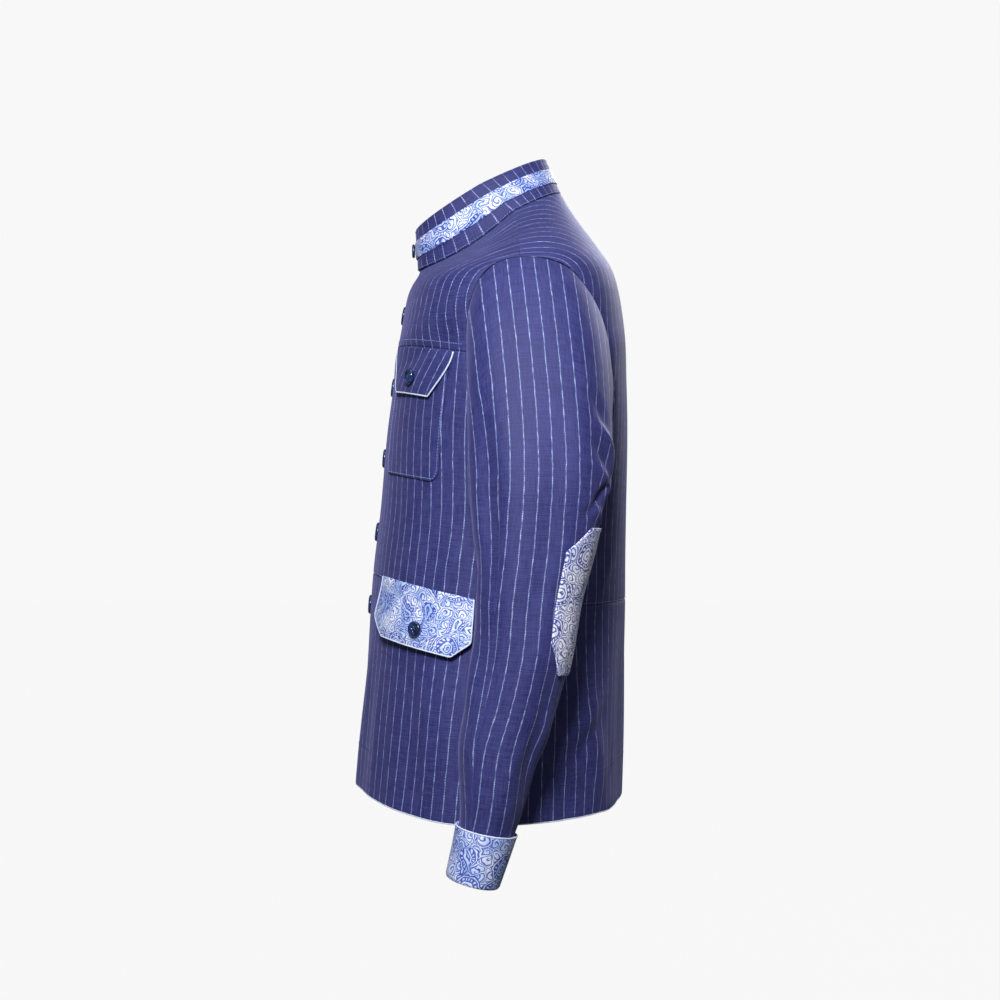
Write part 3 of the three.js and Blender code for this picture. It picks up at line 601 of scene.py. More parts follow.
def pinstripe_suiting():
    """Worsted suiting with a broken silk pinstripe: matt, with a faint violet bloom of loose
    fibre where it turns away, and a slubbed weft that shows as faint level lines."""
    material, tree, shader = start_material("pinstripe_suiting")
    stripe_gap = 14.0                   # mm from one pinstripe to the next
    grain = add(tree, "UVMap", {}, uv_map="Grain")
    across, along = (add(tree, "SeparateXYZ", {0: grain}, axis) for axis in "XY")

    # The stripe wanders by a thread or so
    wander = add(tree, "TexNoise", {"Vector": grain, "Scale": 0.05, "Detail": 2.0}, noise_dimensions="2D")
    shift = add(tree, "Math", {0: wander, 1: 0.5}, operation="SUBTRACT")
    drawn = add(tree, "Math", {0: shift, 1: 1.1, 2: across}, operation="MULTIPLY_ADD")
    away = add(tree, "Math", {0: drawn, 1: stripe_gap / 2}, operation="PINGPONG")
    number = add(tree, "Math", {0: drawn, 1: stripe_gap}, operation="SNAP")

    # Stitches of silk about 9 mm long, with a finer twist of 2.4 mm: the real twist is half
    # that, and is drawn coarser so that it shows
    dash_at = add(tree, "Math", {0: along, 1: 1 / 9.0}, operation="MULTIPLY")
    dash_place = add(tree, "CombineXYZ", {"X": number, "Y": dash_at})
    dash = add(tree, "TexNoise", {"Vector": dash_place, "Scale": 1.0, "Detail": 1.0}, noise_dimensions="2D")
    dash = add(tree, "MapRange", {"Value": dash, "From Min": 0.38, "From Max": 0.66, "To Min": 0.22})
    twist_at = add(tree, "Math", {0: along, 1: 1.2}, operation="PINGPONG")
    twist = add(tree, "MapRange", {"Value": twist_at, "From Max": 1.2, "To Min": 0.3})
    edges = {"Value": away, "From Min": 0.8, "From Max": 0.2}
    line = add(tree, "MapRange", edges, interpolation_type="SMOOTHSTEP")
    line = add(tree, "Math", {0: line, 1: dash}, operation="MULTIPLY")
    line = add(tree, "Math", {0: line, 1: twist}, operation="MULTIPLY")

    # Threads are about 0.4 mm apart, and are drawn about 1.2 mm apart so that they show
    weft_place = add(tree, "VectorMath", {0: grain, 1: (0.05, 0.9, 1.0)}, operation="MULTIPLY")
    weft = add(tree, "TexNoise", {"Vector": weft_place, "Scale": 1.0, "Detail": 3.0}, noise_dimensions="2D")
    warp_place = add(tree, "VectorMath", {0: grain, 1: (1.2, 0.05, 1.0)}, operation="MULTIPLY")
    warp = add(tree, "TexNoise", {"Vector": warp_place, "Scale": 1.0, "Detail": 2.0}, noise_dimensions="2D")
    threads = add(tree, "Math", {0: weft, 1: warp}, operation="ADD")
    cloudy = add(tree, "TexNoise", {"Vector": grain, "Scale": 0.012, "Detail": 3.0}, noise_dimensions="2D")
    tone = add(tree, "Math", {0: cloudy, 1: 0.35, 2: threads}, operation="MULTIPLY_ADD")
    tone = add(tree, "MapRange", {"Value": tone, "From Min": 0.96, "From Max": 1.36})
    ground = add(tree, "Mix", {0: tone, 6: colour("#1a1e5c"), 7: colour("#343776")}, 2, data_type="RGBA")
    silk = add(tree, "Mix", {0: line, 6: ground, 7: colour("#b6c9fb")}, 2, data_type="RGBA")

    height = add(tree, "Math", {0: line, 1: 0.6, 2: threads}, operation="MULTIPLY_ADD")
    bump = add(tree, "Bump", {"Strength": 0.6, "Distance": 0.0004, "Height": height})
    rough = add(tree, "MapRange", {"Value": tone, "To Min": 0.64, "To Max": 0.74})
    feed(tree, shader, {
        "Base Color": silk, "Normal": bump, "Roughness": rough, "Specular IOR Level": 0.45,
        "Sheen Weight": 0.24, "Sheen Roughness": 0.45, "Sheen Tint": colour("#a6a4ea"),
    })
    return material


def paisley_jacquard(name, paler, bluer, light_ink, dark_ink):
    """Cotton and viscose jacquard in a plain traditional paisley: curled drops and rosettes
    with ringed edges on a ground of small scrolls. It is smooth, with a soft satin shine."""
    material, tree, shader = start_material(name)
    grain = add(tree, "UVMap", {}, uv_map="Grain")
    places = {"Vector": grain, "Scale": 0.07, "Detail": 2.0}
    wander = add(tree, "TexNoise", places, "Color", noise_dimensions="2D")
    wander = add(tree, "VectorMath", {0: wander, 1: (0.5, 0.5, 0.5)}, operation="SUBTRACT")
    wander = add(tree, "VectorMath", {0: wander, 1: (9.0, 9.0, 0.0)}, operation="MULTIPLY")
    grain = add(tree, "VectorMath", {0: grain, 1: wander}, operation="ADD")

    # Drops: one in each cell of a scattered lattice, turned its own way
    drop_gap = 34.0                     # mm from one drop to the next
    spread = add(tree, "VectorMath", {0: grain, "Scale": 1 / drop_gap}, operation="SCALE")
    cells = {"Vector": spread, "Scale": 1.0, "Randomness": 0.35}
    centre = add(tree, "TexVoronoi", cells, "Position", voronoi_dimensions="2D")
    chance = add(tree, "TexVoronoi", cells, "Color", voronoi_dimensions="2D")
    local = add(tree, "VectorMath", {0: spread, 1: centre}, operation="SUBTRACT")
    turn_chance, fill_chance, rosette_chance = (add(tree, "SeparateXYZ", {0: chance}, axis) for axis in "XYZ")
    angle = add(tree, "Math", {0: turn_chance, 1: 2 * math.pi}, operation="MULTIPLY")
    turned = add(tree, "VectorRotate", {"Vector": local, "Angle": angle}, rotation_type="Z_AXIS")
    x, y = (add(tree, "SeparateXYZ", {0: turned}, axis) for axis in "XY")
    risen = add(tree, "Math", {0: y, 1: 0.1}, operation="ADD")
    curl = add(tree, "Math", {0: risen, 1: 2.0}, operation="POWER")
    x = add(tree, "Math", {0: curl, 1: -1.6, 2: x}, operation="MULTIPLY_ADD")
    x = add(tree, "Math", {0: x, 1: 0.07}, operation="ADD")
    up = add(tree, "MapRange", {"Value": y, "From Min": -0.34, "From Max": 0.4})
    up_root = add(tree, "Math", {0: up, 1: 0.5}, operation="POWER")
    down = add(tree, "Math", {0: 1.0, 1: up}, operation="SUBTRACT")
    half = add(tree, "Math", {0: up_root, 1: down}, operation="MULTIPLY")
    half = add(tree, "Math", {0: half, 1: 0.6}, operation="MULTIPLY")
    side = add(tree, "Math", {0: x}, operation="ABSOLUTE")
    drop = add(tree, "Math", {0: half, 1: side}, operation="SUBTRACT")
    from_centre = add(tree, "VectorMath", {0: local}, "Value", operation="LENGTH")
    rosette = add(tree, "Math", {0: 0.34, 1: from_centre}, operation="SUBTRACT")
    is_rosette = add(tree, "Math", {0: rosette_chance, 1: 0.55}, operation="GREATER_THAN")
    depth = add(tree, "Mix", {0: is_rosette, 2: drop, 3: rosette})
    depth = add(tree, "Math", {0: depth, 1: drop_gap}, operation="MULTIPLY")
    in_drop = add(tree, "MapRange", {"Value": depth, "From Min": -0.3, "From Max": 0.3})

    # Rings run inside each edge, 3.4 mm apart, and beads sit between the outer two
    ring_at = add(tree, "Math", {0: depth, 1: 1.7}, operation="PINGPONG")
    rings = add(tree, "MapRange", {"Value": ring_at, "From Min": 0.85, "From Max": 0.4})
    spoke = add(tree, "Math", {0: y, 1: x}, operation="ARCTAN2")
    beads = add(tree, "Math", {0: spoke, 1: math.pi / 14}, operation="PINGPONG")
    beads = add(tree, "MapRange", {"Value": beads, "From Min": 0.08, "From Max": 0.14})
    beaded = add(tree, "MapRange", {"Value": depth, "From Min": 3.4, "From Max": 2.6})
    beads = add(tree, "Math", {0: beads, 1: beaded}, operation="MULTIPLY")
    drop_lines = add(tree, "Math", {0: rings, 1: beads}, operation="MAXIMUM")

    # Scrolls: curls wound round the middle of their own cells, each with an outline
    scroll_gap = 12.0
    small = add(tree, "VectorMath", {0: grain, "Scale": 1 / scroll_gap}, operation="SCALE")
    curls = {"Vector": small, "Scale": 1.0, "Randomness": 0.85}
    middle = add(tree, "TexVoronoi", curls, "Position", voronoi_dimensions="2D")
    reach = add(tree, "TexVoronoi", curls, "Distance", voronoi_dimensions="2D")
    lean = add(tree, "TexVoronoi", curls, "Color", voronoi_dimensions="2D")
    border = add(tree, "TexVoronoi", curls, voronoi_dimensions="2D", feature="DISTANCE_TO_EDGE")
    border = add(tree, "Math", {0: border, 1: scroll_gap}, operation="MULTIPLY")
    offset = add(tree, "VectorMath", {0: small, 1: middle}, operation="SUBTRACT")
    offset_x, offset_y = (add(tree, "SeparateXYZ", {0: offset}, axis) for axis in "XY")
    bearing = add(tree, "Math", {0: offset_y, 1: offset_x}, operation="ARCTAN2")
    winding = add(tree, "Math", {0: lean, 1: 0.5}, operation="SUBTRACT")
    winding = add(tree, "Math", {0: winding}, operation="SIGN")
    bearing = add(tree, "Math", {0: bearing, 1: winding}, operation="MULTIPLY")
    wound = add(tree, "Math", {0: reach, 1: 21.0, 2: bearing}, operation="MULTIPLY_ADD")
    wave = add(tree, "Math", {0: wound}, operation="SINE")
    scrolls = add(tree, "MapRange", {"Value": wave, "From Min": 0.3, "From Max": 0.75})
    within = add(tree, "MapRange", {"Value": border, "From Min": 1.4, "From Max": 1.8})
    scrolls = add(tree, "Math", {0: scrolls, 1: within}, operation="MULTIPLY")
    rim_at = add(tree, "Math", {0: border, 1: 1.0}, operation="SUBTRACT")
    rim_at = add(tree, "Math", {0: rim_at}, operation="ABSOLUTE")
    rims = add(tree, "MapRange", {"Value": rim_at, "From Min": 0.55, "From Max": 0.25})
    scrolls = add(tree, "Math", {0: scrolls, 1: rims}, operation="MAXIMUM")
    beyond = add(tree, "MapRange", {"Value": depth, "From Min": -1.5, "From Max": -1.9})
    scrolls = add(tree, "Math", {0: scrolls, 1: beyond}, operation="MULTIPLY")

    lines = add(tree, "Mix", {0: in_drop, 2: scrolls, 3: drop_lines})
    for out_by in (0.0, 2.1):           # two outlines round each drop, this far out
        edge_at = add(tree, "Math", {0: depth, 1: out_by}, operation="ADD")
        edge_at = add(tree, "Math", {0: edge_at}, operation="ABSOLUTE")
        edge = add(tree, "MapRange", {"Value": edge_at, "From Min": 0.75, "From Max": 0.35})
        lines = add(tree, "Math", {0: lines, 1: edge}, operation="MAXIMUM")

    # Washes of blue lie under the lines, and some drops and curls are filled
    wash = add(tree, "TexNoise", {"Vector": grain, "Scale": 0.035, "Detail": 2.0}, noise_dimensions="2D")
    wash = add(tree, "MapRange", {"Value": wash, "From Min": 0.36, "From Max": 0.62, "To Max": 0.85})
    filled = add(tree, "MapRange", {"Value": fill_chance, "From Min": 0.5, "From Max": 0.75})
    filled = add(tree, "Math", {0: filled, 1: in_drop}, operation="MULTIPLY")
    wash = add(tree, "Math", {0: wash, 1: filled}, operation="MAXIMUM")
    ground = add(tree, "Mix", {0: wash, 6: colour(paler), 7: colour(bluer)}, 2, data_type="RGBA")
    ink = add(tree, "Mix", {0: wash, 6: colour(light_ink), 7: colour(dark_ink)}, 2, data_type="RGBA")
    painted = add(tree, "Mix", {0: lines, 6: ground, 7: ink}, 2, data_type="RGBA")

    weave_place = add(tree, "VectorMath", {0: grain, 1: (1.1, 0.25, 1.0)}, operation="MULTIPLY")
    weave = add(tree, "TexNoise", {"Vector": weave_place, "Scale": 1.0, "Detail": 2.0}, noise_dimensions="2D")
    height = add(tree, "Math", {0: lines, 1: -0.8, 2: weave}, operation="MULTIPLY_ADD")
    bump = add(tree, "Bump", {"Strength": 0.3, "Distance": 0.0004, "Height": height})
    rough = add(tree, "MapRange", {"Value": lines, "To Min": 0.42, "To Max": 0.6})
    feed(tree, shader, {
        "Base Color": painted, "Normal": bump, "Roughness": rough, "Specular IOR Level": 0.4,
        "Sheen Weight": 0.1,
    })
    return material


def polished_resin():
    """Cast polyester button, turned and tumbled: near black navy with paler clouds, and glossy."""
    material, tree, shader = start_material("polished_resin")
    place = add(tree, "TexCoord", {}, "Object")
    cloud = add(tree, "TexNoise", {"Vector": place, "Scale": 260.0, "Detail": 3.0, "Distortion": 1.2})
    cloud = add(tree, "MapRange", {"Value": cloud, "From Min": 0.4, "From Max": 0.75})
    base = add(tree, "Mix", {0: cloud, 6: colour("#0a1030"), 7: colour("#2a4d8c")}, 2, data_type="RGBA")
    scuff = add(tree, "TexNoise", {"Vector": place, "Scale": 900.0, "Detail": 2.0})
    rough = add(tree, "MapRange", {"Value": scuff, "To Min": 0.12, "To Max": 0.3})
    feed(tree, shader, {
        "Base Color": base, "Roughness": rough, "IOR": 1.54, "Coat Weight": 0.4, "Coat Roughness": 0.08,
    })
    return material


def spun_thread(name, dark, light):
    """Spun sewing thread or corded piping: matt, with its twist as a fine change of tone."""
    material, tree, shader = start_material(name)
    place = add(tree, "TexCoord", {}, "Object")
    twist = add(tree, "TexNoise", {"Vector": place, "Scale": 1400.0, "Detail": 1.0})
    base = add(tree, "Mix", {0: twist, 6: colour(dark), 7: colour(light)}, 2, data_type="RGBA")
    bump = add(tree, "Bump", {"Strength": 0.2, "Distance": 0.0002, "Height": twist})
    feed(tree, shader, {"Base Color": base, "Normal": bump, "Roughness": 0.7, "Sheen Weight": 0.15})
    return material


suiting, resin = pinstripe_suiting(), polished_resin()
jacquard = paisley_jacquard("paisley_jacquard", "#e6edfe", "#9db8f2", "#4c63bf", "#253797")
# The elbow patches' copy of the same paisley has a paler ground and ink. This is painted light: it stands in
# for light on the patches, which face away from the lamps.
patch_jacquard_painted_lit = paisley_jacquard("paisley_jacquard_painted_lit", "#f6f6ff", "#d3dcfb", "#4c56a8", "#2a2f86")
blue_thread = spun_thread("blue_sewing_thread", "#6f83cc", "#9fb2ea")
navy_thread = spun_thread("navy_sewing_thread", "#1b1f52", "#2b3170")
piping_cord = spun_thread("pale_piping_cord", "#b9c8f0", "#e4ebfc")


# Panels

STEP = 3.6                              # mm between the lines of a panel's mesh
HALF_TURN = math.pi / 2


def outside_armhole(points):
    """How far a place lies outside the armhole, seen from the side; inside it is below nought."""
    outline = armhole_outline(120)[:, 1:]
    ends = np.roll(outline, -1, 0)
    line = ends - outline
    place = points[..., 1:].reshape(-1, 1, 2)
    share = np.clip(((place - outline) * line).sum(-1) / (line ** 2).sum(-1), 0, 1)
    away = np.linalg.norm(place - outline - line * share[..., None], axis=-1).min(1)
    beside = (outline[:, 1] > place[..., 1]) != (ends[:, 1] > place[..., 1])
    crossing = outline[:, 0] + line[:, 0] * (place[..., 1] - outline[:, 1]) / line[:, 1]
    inside = (beside & (place[..., 0] < crossing)).sum(1) % 2 == 1
    away = np.where(inside, -away, away).reshape(points.shape[:-1])
    return np.where(np.abs(points[..., 0]) < 120, 50.0, away)


def body_panel(node, low, high, width, height, back=False, armholes=False, right=False):
    """A stretch of the body between two levels, on the front or across the back, with its seams
    drawn in. The right front goes under the left one."""
    i, j = shares(width, STEP)[:, None], shares(height, STEP)[None, :]
    margin = SEAM / 2 / height
    level = mix(low, high, mix(margin if low > 0 else 0, 1 - margin if high < 1 else 1, j)) + 0 * i
    start = HALF_TURN if back else turn_at_x(level, -OVERLAP + 0 * level)
    end = 3 * HALF_TURN if back else HALF_TURN
    turn = mix(start, end, mix(SEAM / 2 / width, 1 - SEAM / 2 / width, i)) + 0 * level
    lift = edge_roll(from_rim(i, j, width, height))
    if right:
        turn, level, lift = -turn[::-1], level[::-1], lift[::-1]
    points = body_point(turn, level)
    inside = outside_armhole(points) if armholes else None
    if armholes:
        lift = np.minimum(lift, edge_roll(np.maximum(inside, 0)))
    if right:
        lift = lift - UNDERLAY * (1 - smooth(np.abs(points[..., 0]), UNDERLAY_START, UNDERLAY_END))
        lift = np.where(points[..., 0] > 0, np.minimum(lift, -UNDERLAY), lift)
    grain = body_grain(np.abs(turn), level)
    cloth_piece(node, body_point, turn, level, lift, SHELL, grain, suiting, inside)


for side, right in (("left", False), ("right", True)):
    yoke, chest, skirt = (f"front_{side}_{part}" for part in ("yoke", "chest", "skirt"))
    body_panel(yoke, YOKE, 1, 300, 165, armholes=True, right=right)
    body_panel(chest, WAIST, YOKE, 300, 265, armholes=True, right=right)
    body_panel(skirt, 0, WAIST, 310, 235, right=right)
body_panel("back_upper", WAIST, 1, 560, 480, back=True, armholes=True)
body_panel("back_skirt", 0, WAIST, 580, 225, back=True)


# Sleeves, cuffs and elbow patches

CAP_ROWS, ARM_ROWS = 56, 104
SLEEVE_ROUND, CAP_LENGTH = 330, 180     # about, to turn the sleeve's values into millimetres
CUFF_ROUND, CUFF_DEEP = 200, 56
arm_end = float(arm_value_at(SLEEVE_END))
cuff_low, cuff_high = float(arm_value_at(CUFF_TOP)), float(arm_value_at(CUFF_BOTTOM))


def sleeve_columns(length):
    columns = shares(length, STEP) - 0.5
    beside = np.array([-0.008, -0.004, -0.0006, 0.0006, 0.004, 0.008]) + SLEEVE_SEAM
    clear_of_seam = np.abs(columns - SLEEVE_SEAM) > 0.011
    return np.sort(np.concatenate([columns[clear_of_seam], beside]))


def sleeve_piece(side):
    u = sleeve_columns(350)[:, None]
    cap = np.linspace(0, 1, round(CAP_ROWS / COARSE))[:-1]
    arm = np.linspace(1, arm_end, round(ARM_ROWS / COARSE))
    v = np.concatenate([[0, 0.008, 0.016, 0.026], cap[2:], arm])[None, :]
    u, v = u + 0 * v, v + 0 * u
    seam_groove = edge_roll((u - SLEEVE_SEAM) * SLEEVE_ROUND, 0.8, 1.6) * smooth(v, 0.7, 1.05)
    under_arm = edge_roll((0.5 - np.abs(u)) * SLEEVE_ROUND)
    lift = edge_roll(v * CAP_LENGTH, 1.1, 2.6) + seam_groove + under_arm
    cloth_piece(
        f"sleeve_{side}", sleeve_surface(side), u, v, lift, SHELL, sleeve_grain(u, v), suiting,
        mirror=side == "right",
    )


def cuff_piece(side):
    i, j = shares(220, 3.0)[:, None] - 0.5, shares(CUFF_DEEP, 3.0)[None, :]
    u, v = i + 0 * j, mix(cuff_low, cuff_high, j) + 0 * i
    lift = CUFF_LOOSE + CUFF_THICK + edge_roll(np.minimum(j, 1 - j) * CUFF_DEEP + 0 * i, 0.9, 1.2)
    lift = lift + edge_roll((0.5 - np.abs(u)) * CUFF_ROUND, 0.6, 1.2)
    cloth_piece(
        f"cuff_{side}", sleeve_plain, u, v, lift, CUFF_THICK, sleeve_cloth(u, v), jacquard,
        mirror=side == "right",
    )


PATCH_TOP, PATCH_BOTTOM, PATCH_HALF = -318, -463, 59
PATCH_TOP_HALF, PATCH_BOTTOM_HALF, PATCH_TOP_CUT, PATCH_BOTTOM_CUT = 31, 38, 0.16, 0.22
PATCH_MIDDLE = -0.25                    # the sleeve's back, as a value u
PATCH_WIDE, PATCH_LONG = 105, 160
PATCH_LIFT = CLEAR + 1.2 + LAYER


def patch_reach(share):
    """The patch's half width, in degrees round the arm: its corners are cut off."""
    top = mix(PATCH_TOP_HALF, PATCH_HALF, np.clip(share / PATCH_TOP_CUT, 0, 1))
    past = (share - 1 + PATCH_BOTTOM_CUT) / PATCH_BOTTOM_CUT
    return np.minimum(top, mix(PATCH_HALF, PATCH_BOTTOM_HALF, np.clip(past, 0, 1)))


def patch_place(i, share):
    u = PATCH_MIDDLE + mix(-1, 1, i) * patch_reach(share) / 360
    return u, arm_value_at(mix(PATCH_TOP, PATCH_BOTTOM, share))


def elbow_patch_piece(side):
    corners = [PATCH_TOP_CUT, 1 - PATCH_BOTTOM_CUT]
    i = shares(PATCH_WIDE, 2.6)[:, None]
    j = np.sort(np.concatenate([shares(PATCH_LONG, 2.6), corners]))[None, :]
    u, v = patch_place(i, j + 0 * i)
    lift = PATCH_LIFT + edge_roll(from_rim(i, j, PATCH_WIDE, PATCH_LONG), 0.7, 1.3)
    # The patches use the brightened copy of the paisley, painted light for their rear-facing side.
    cloth_piece(
        f"elbow_patch_{side}", sleeve_surface(side), u, v, lift, LAYER, sleeve_cloth(u, v), patch_jacquard_painted_lit,
        mirror=side == "right",
    )


for side in ("left", "right"):
    sleeve_piece(side)
    cuff_piece(side)
    elbow_patch_piece(side)


# Collar

COLLAR_LENGTH, COLLAR_HEIGHT, COLLAR_CORNER = 470, 45, 13
RIGHT_END_FROM, RIGHT_END_TO = 2 * math.pi - 0.62, 2 * math.pi - 0.28


def collar_piece(node, low, high, outer, thick, end_in, finish, rounded):
    past = math.asin((COLLAR_OVERLAP - end_in) / NECK.w)
    length, height = COLLAR_LENGTH, COLLAR_HEIGHT * (high - low)
    i, j = shares(length, 3.0)[:, None], shares(height, 2.4)[None, :]
    u, v = mix(-past, 2 * math.pi + past, i) + 0 * j, mix(low, high, j) + 0 * i
    lift = outer - (UNDERLAY + 0.6) * smooth(u, RIGHT_END_FROM, RIGHT_END_TO)
    lift = lift + edge_roll(from_rim(i, j, length, height), 0.6, 1.2)
    inside = None
    if rounded:
        from_end, from_top = np.minimum(i, 1 - i) * length, (1 - j) * height
        inside = COLLAR_CORNER + 0.05 - np.hypot(
            np.maximum(COLLAR_CORNER - from_end, 0), np.maximum(COLLAR_CORNER - from_top, 0),
        )
    grain = np.stack([u * NECK.w * 1.3, v * COLLAR_HEIGHT], -1)
    cloth_piece(
        node, collar_point, u, v, lift, thick, grain, finish,
        inside,
    )


collar_piece("collar_stand", 0.012, 1, 0, SHELL, 0, suiting, True)
collar_piece("collar_band", *COLLAR_BAND, CLEAR + 0.9, 0.9, 3, jacquard, False)


# Pockets and flaps

# rear is the turn of its rear edge in degrees, top the level of its upper edge, and stand how
# far its lower edge stands off the panel
BREAST_POCKET = LaidCut(60.7, 114, YOKE - 0.052, 117, 0)
BREAST_FLAP = LaidCut(62.2, 124, YOKE - 0.002, 50, 4.5)
LOWER_FLAP = LaidCut(80, 143, WAIST + 0.003, 64, 6.5)
POCKET_CORNER, FLAP_TAPER, FLAP_BOW = 12, 25, 1.7
CHAMFER_WIDE, CHAMFER_HIGH, FLARE = 24, 20, 4


def pocket_inset(share):
    into = np.clip(share * BREAST_POCKET.depth - BREAST_POCKET.depth + POCKET_CORNER, 0, POCKET_CORNER)
    return POCKET_CORNER - np.sqrt(POCKET_CORNER ** 2 - into ** 2)


def breast_flap_inset(share):
    return FLAP_TAPER * share ** FLAP_BOW


def lower_flap_inset(share):
    cut = CHAMFER_HIGH / LOWER_FLAP.depth
    return CHAMFER_WIDE * np.maximum(0, share - 1 + cut) / cut - FLARE * np.minimum(1, share / (1 - cut))


def laid_place(cut, inset, i, share):
    """Where a place of a laid piece is on the body: i goes from its front edge to its rear one."""
    rear = math.radians(cut.rear)
    front = float(walk_forward(cut.top, rear, cut.width))
    i, share = np.broadcast_arrays(np.asarray(i, float), np.asarray(share, float))
    near = mix(front, rear, i)
    level = level_at_height(near, body_plain(near, cut.top + 0 * near)[..., 2] - cut.depth * share)
    narrow = inset(share)
    return walk_forward(level, rear, mix(cut.width - narrow, narrow, i)), level


def laid_lift(cut, share):
    return CLEAR + LAYER + cut.stand * smooth(share, 0, 0.9)


def laid_line(cut, inset, from_edge, step=2.5):
    """Round a laid piece's rear, lower and front edges, from_edge inside them: i and share."""
    last = 1 - from_edge / cut.depth
    down = np.linspace(0.01, last, round(cut.depth / step))
    reach = from_edge / (cut.width - 2 * inset(down))
    low = np.linspace(1 - reach[-1], reach[-1], round(cut.width / step))[1:-1]
    shares_down = np.concatenate([down, np.full(len(low), last), down[::-1]])
    return np.concatenate([1 - reach, low, reach[::-1]]), shares_down


def laid_piece(node, cut, inset, corners, slant, finish, right):
    """A pocket or flap laid on the body; slant turns its stripes from the body's."""
    i = shares(cut.width, 3.0)[:, None]
    share = np.unique(np.concatenate([1 - shares(cut.depth, 3.0), corners]))[::-1][None, :]
    turn, level = laid_place(cut, inset, i, share + 0 * i)
    lift = laid_lift(cut, share) + edge_roll(from_rim(i, share, cut.width, cut.depth), 0.6, 1.3)
    grain = body_grain(turn, level)
    grain[..., 0] = grain[..., 0] + slant * cut.depth * share
    if right:
        turn, level, lift, grain = -turn[::-1], level[::-1], lift[::-1], grain[::-1]
    cloth_piece(node, body_point, turn, level, lift, LAYER - 0.1, grain, finish)


pocket_corners = 1 - POCKET_CORNER / BREAST_POCKET.depth * np.array([1.0, 0.6, 0.35, 0.15])
flap_corner = [1 - CHAMFER_HIGH / LOWER_FLAP.depth]
for side, right in (("left", False), ("right", True)):
    chest, skirt = f"front_{side}_chest", f"front_{side}_skirt"
    laid_piece(f"breast_pocket_{side}", BREAST_POCKET, pocket_inset, pocket_corners, 0, suiting, right)
    laid_piece(f"breast_flap_{side}", BREAST_FLAP, breast_flap_inset, [], 0.45, suiting, right)
    laid_piece(f"lower_flap_{side}", LOWER_FLAP, lower_flap_inset, flap_corner, 0, jacquard, right)


# Stitching and piping


def beside_level(turn, level, along):
    """The level that lies some millimetres above another."""
    gap = np.linalg.norm(body_plain(turn, level + 0.01) - body_plain(turn, level - 0.01), axis=-1)
    return level + along * 0.02 / gap


def on_surface(surface, u, v, lift):
    """Points on a surface and its directions out, as a line for stitches or piping."""
    out = outward(surface, u, v)
    return surface(u, v) + out * (np.zeros(np.shape(u)) + lift)[..., None], out


def mirrored_line(line):
    return line[0] * [-1, 1, 1], line[1] * [-1, 1, 1]


def evenly(line, pitch):
    """The same line with its points a pitch apart, and its directions along and out."""
    points, outs = line
    gone = gone_along(points)
    places = np.linspace(0, gone[-1], max(3, round(gone[-1] / pitch) + 1))
    even = np.stack([np.interp(places, gone, points[:, k]) for k in range(3)], -1)
    out = np.stack([np.interp(places, gone, outs[:, k]) for k in range(3)], -1)
    along = unit(np.gradient(even, axis=0))
    across = unit(np.cross(along, out))
    return even, along, across, np.cross(across, along)


def stitching(name, lines, finish, pitch=3.3, long=2.3, thick=0.55, sides=5):
    """Rows of stitches as one mesh: each is a short rod with rounded ends."""
    rings = [(-0.5, 0.35), (-0.32, 1.0), (0.32, 1.0), (0.5, 0.35)]
    turns = np.arange(sides) * 2 * np.pi / sides
    template = np.array([
        [place * long, np.cos(t) * thick / 2 * fat, np.sin(t) * thick / 2 * fat]
        for place, fat in rings for t in turns
    ])
    quads = [
        [r * sides + k, r * sides + (k + 1) % sides, (r + 1) * sides + (k + 1) % sides, (r + 1) * sides + k]
        for r in range(3) for k in range(sides)
    ]
    ends = [list(range(sides))[::-1], [3 * sides + k for k in range(sides)]]
    points, faces = [], []
    for line in lines:
        for middle, along, across, out in zip(*evenly(line, pitch)):
            start = len(points) * len(template)
            points.append(middle + template @ np.stack([along, across, out]))
            faces += [[start + k for k in face] for face in quads + ends]
    thing = make_object(name, np.concatenate(points), faces, finish)
    return thing


def piping(name, lines, finish, radius=0.9, sides=8):
    """Corded piping along each line, with capped ends."""
    turns = np.arange(sides) * 2 * np.pi / sides
    points, faces, start = [], [], 0
    for line in lines:
        middles, _, across, out = evenly(line, 3.0)
        ring = np.cos(turns)[:, None] * across[:, None] + np.sin(turns)[:, None] * out[:, None]
        points.append((middles[:, None] + ring * radius).reshape(-1, 3))
        count = len(middles)
        for r in range(count - 1):
            for k in range(sides):
                a, b = start + r * sides + k, start + r * sides + (k + 1) % sides
                faces.append([a, b, b + sides, a + sides])
        faces.append([start + k for k in range(sides)][::-1])
        faces.append([start + (count - 1) * sides + k for k in range(sides)])
        start += count * sides
    thing = make_object(name, np.concatenate(points), faces, finish)
    return thing


def round_body(low, high, level, above, lift=0.1, count=140):
    """A line round the body, from low to high degrees and some millimetres above a level."""
    turn = np.radians(np.linspace(low, high, count))
    return on_surface(body_point, turn, beside_level(turn, level + 0 * turn, above), lift)


def keep_outside_armholes(line):
    kept = outside_armhole(line[0]) > 4
    return line[0][kept], line[1][kept]


ABOVE_YOKE, ABOVE_WAIST, ABOVE_HEM, INSIDE_EDGE = 6, 1.6, 24, 5.5    # how far a row is from its seam
yoke_lines = [keep_outside_armholes(round_body(*ends, YOKE, ABOVE_YOKE)) for ends in ((0, 88), (-88, -17))]
waist_lines = [
    round_body(low, high, WAIST, ABOVE_WAIST, count=count)
    for low, high, count in ((-8, 89, 140), (-89, -17, 140), (91, 269, 240))
]
front_level = np.linspace(0.004, 0.985, 150)
front_turn = turn_at_x(front_level, -OVERLAP + INSIDE_EDGE + 0 * front_level)
front_line = on_surface(body_point, front_turn, front_level, 0.1)
stitching("body_topstitching", yoke_lines + waist_lines + [front_line], blue_thread)

hem_lines = [
    round_body(low, high, 0, ABOVE_HEM, count=count)
    for low, high, count in ((-5, 89, 140), (-89, -8, 140), (91, 269, 240))
]
stitching("hem_stitching", hem_lines, navy_thread)

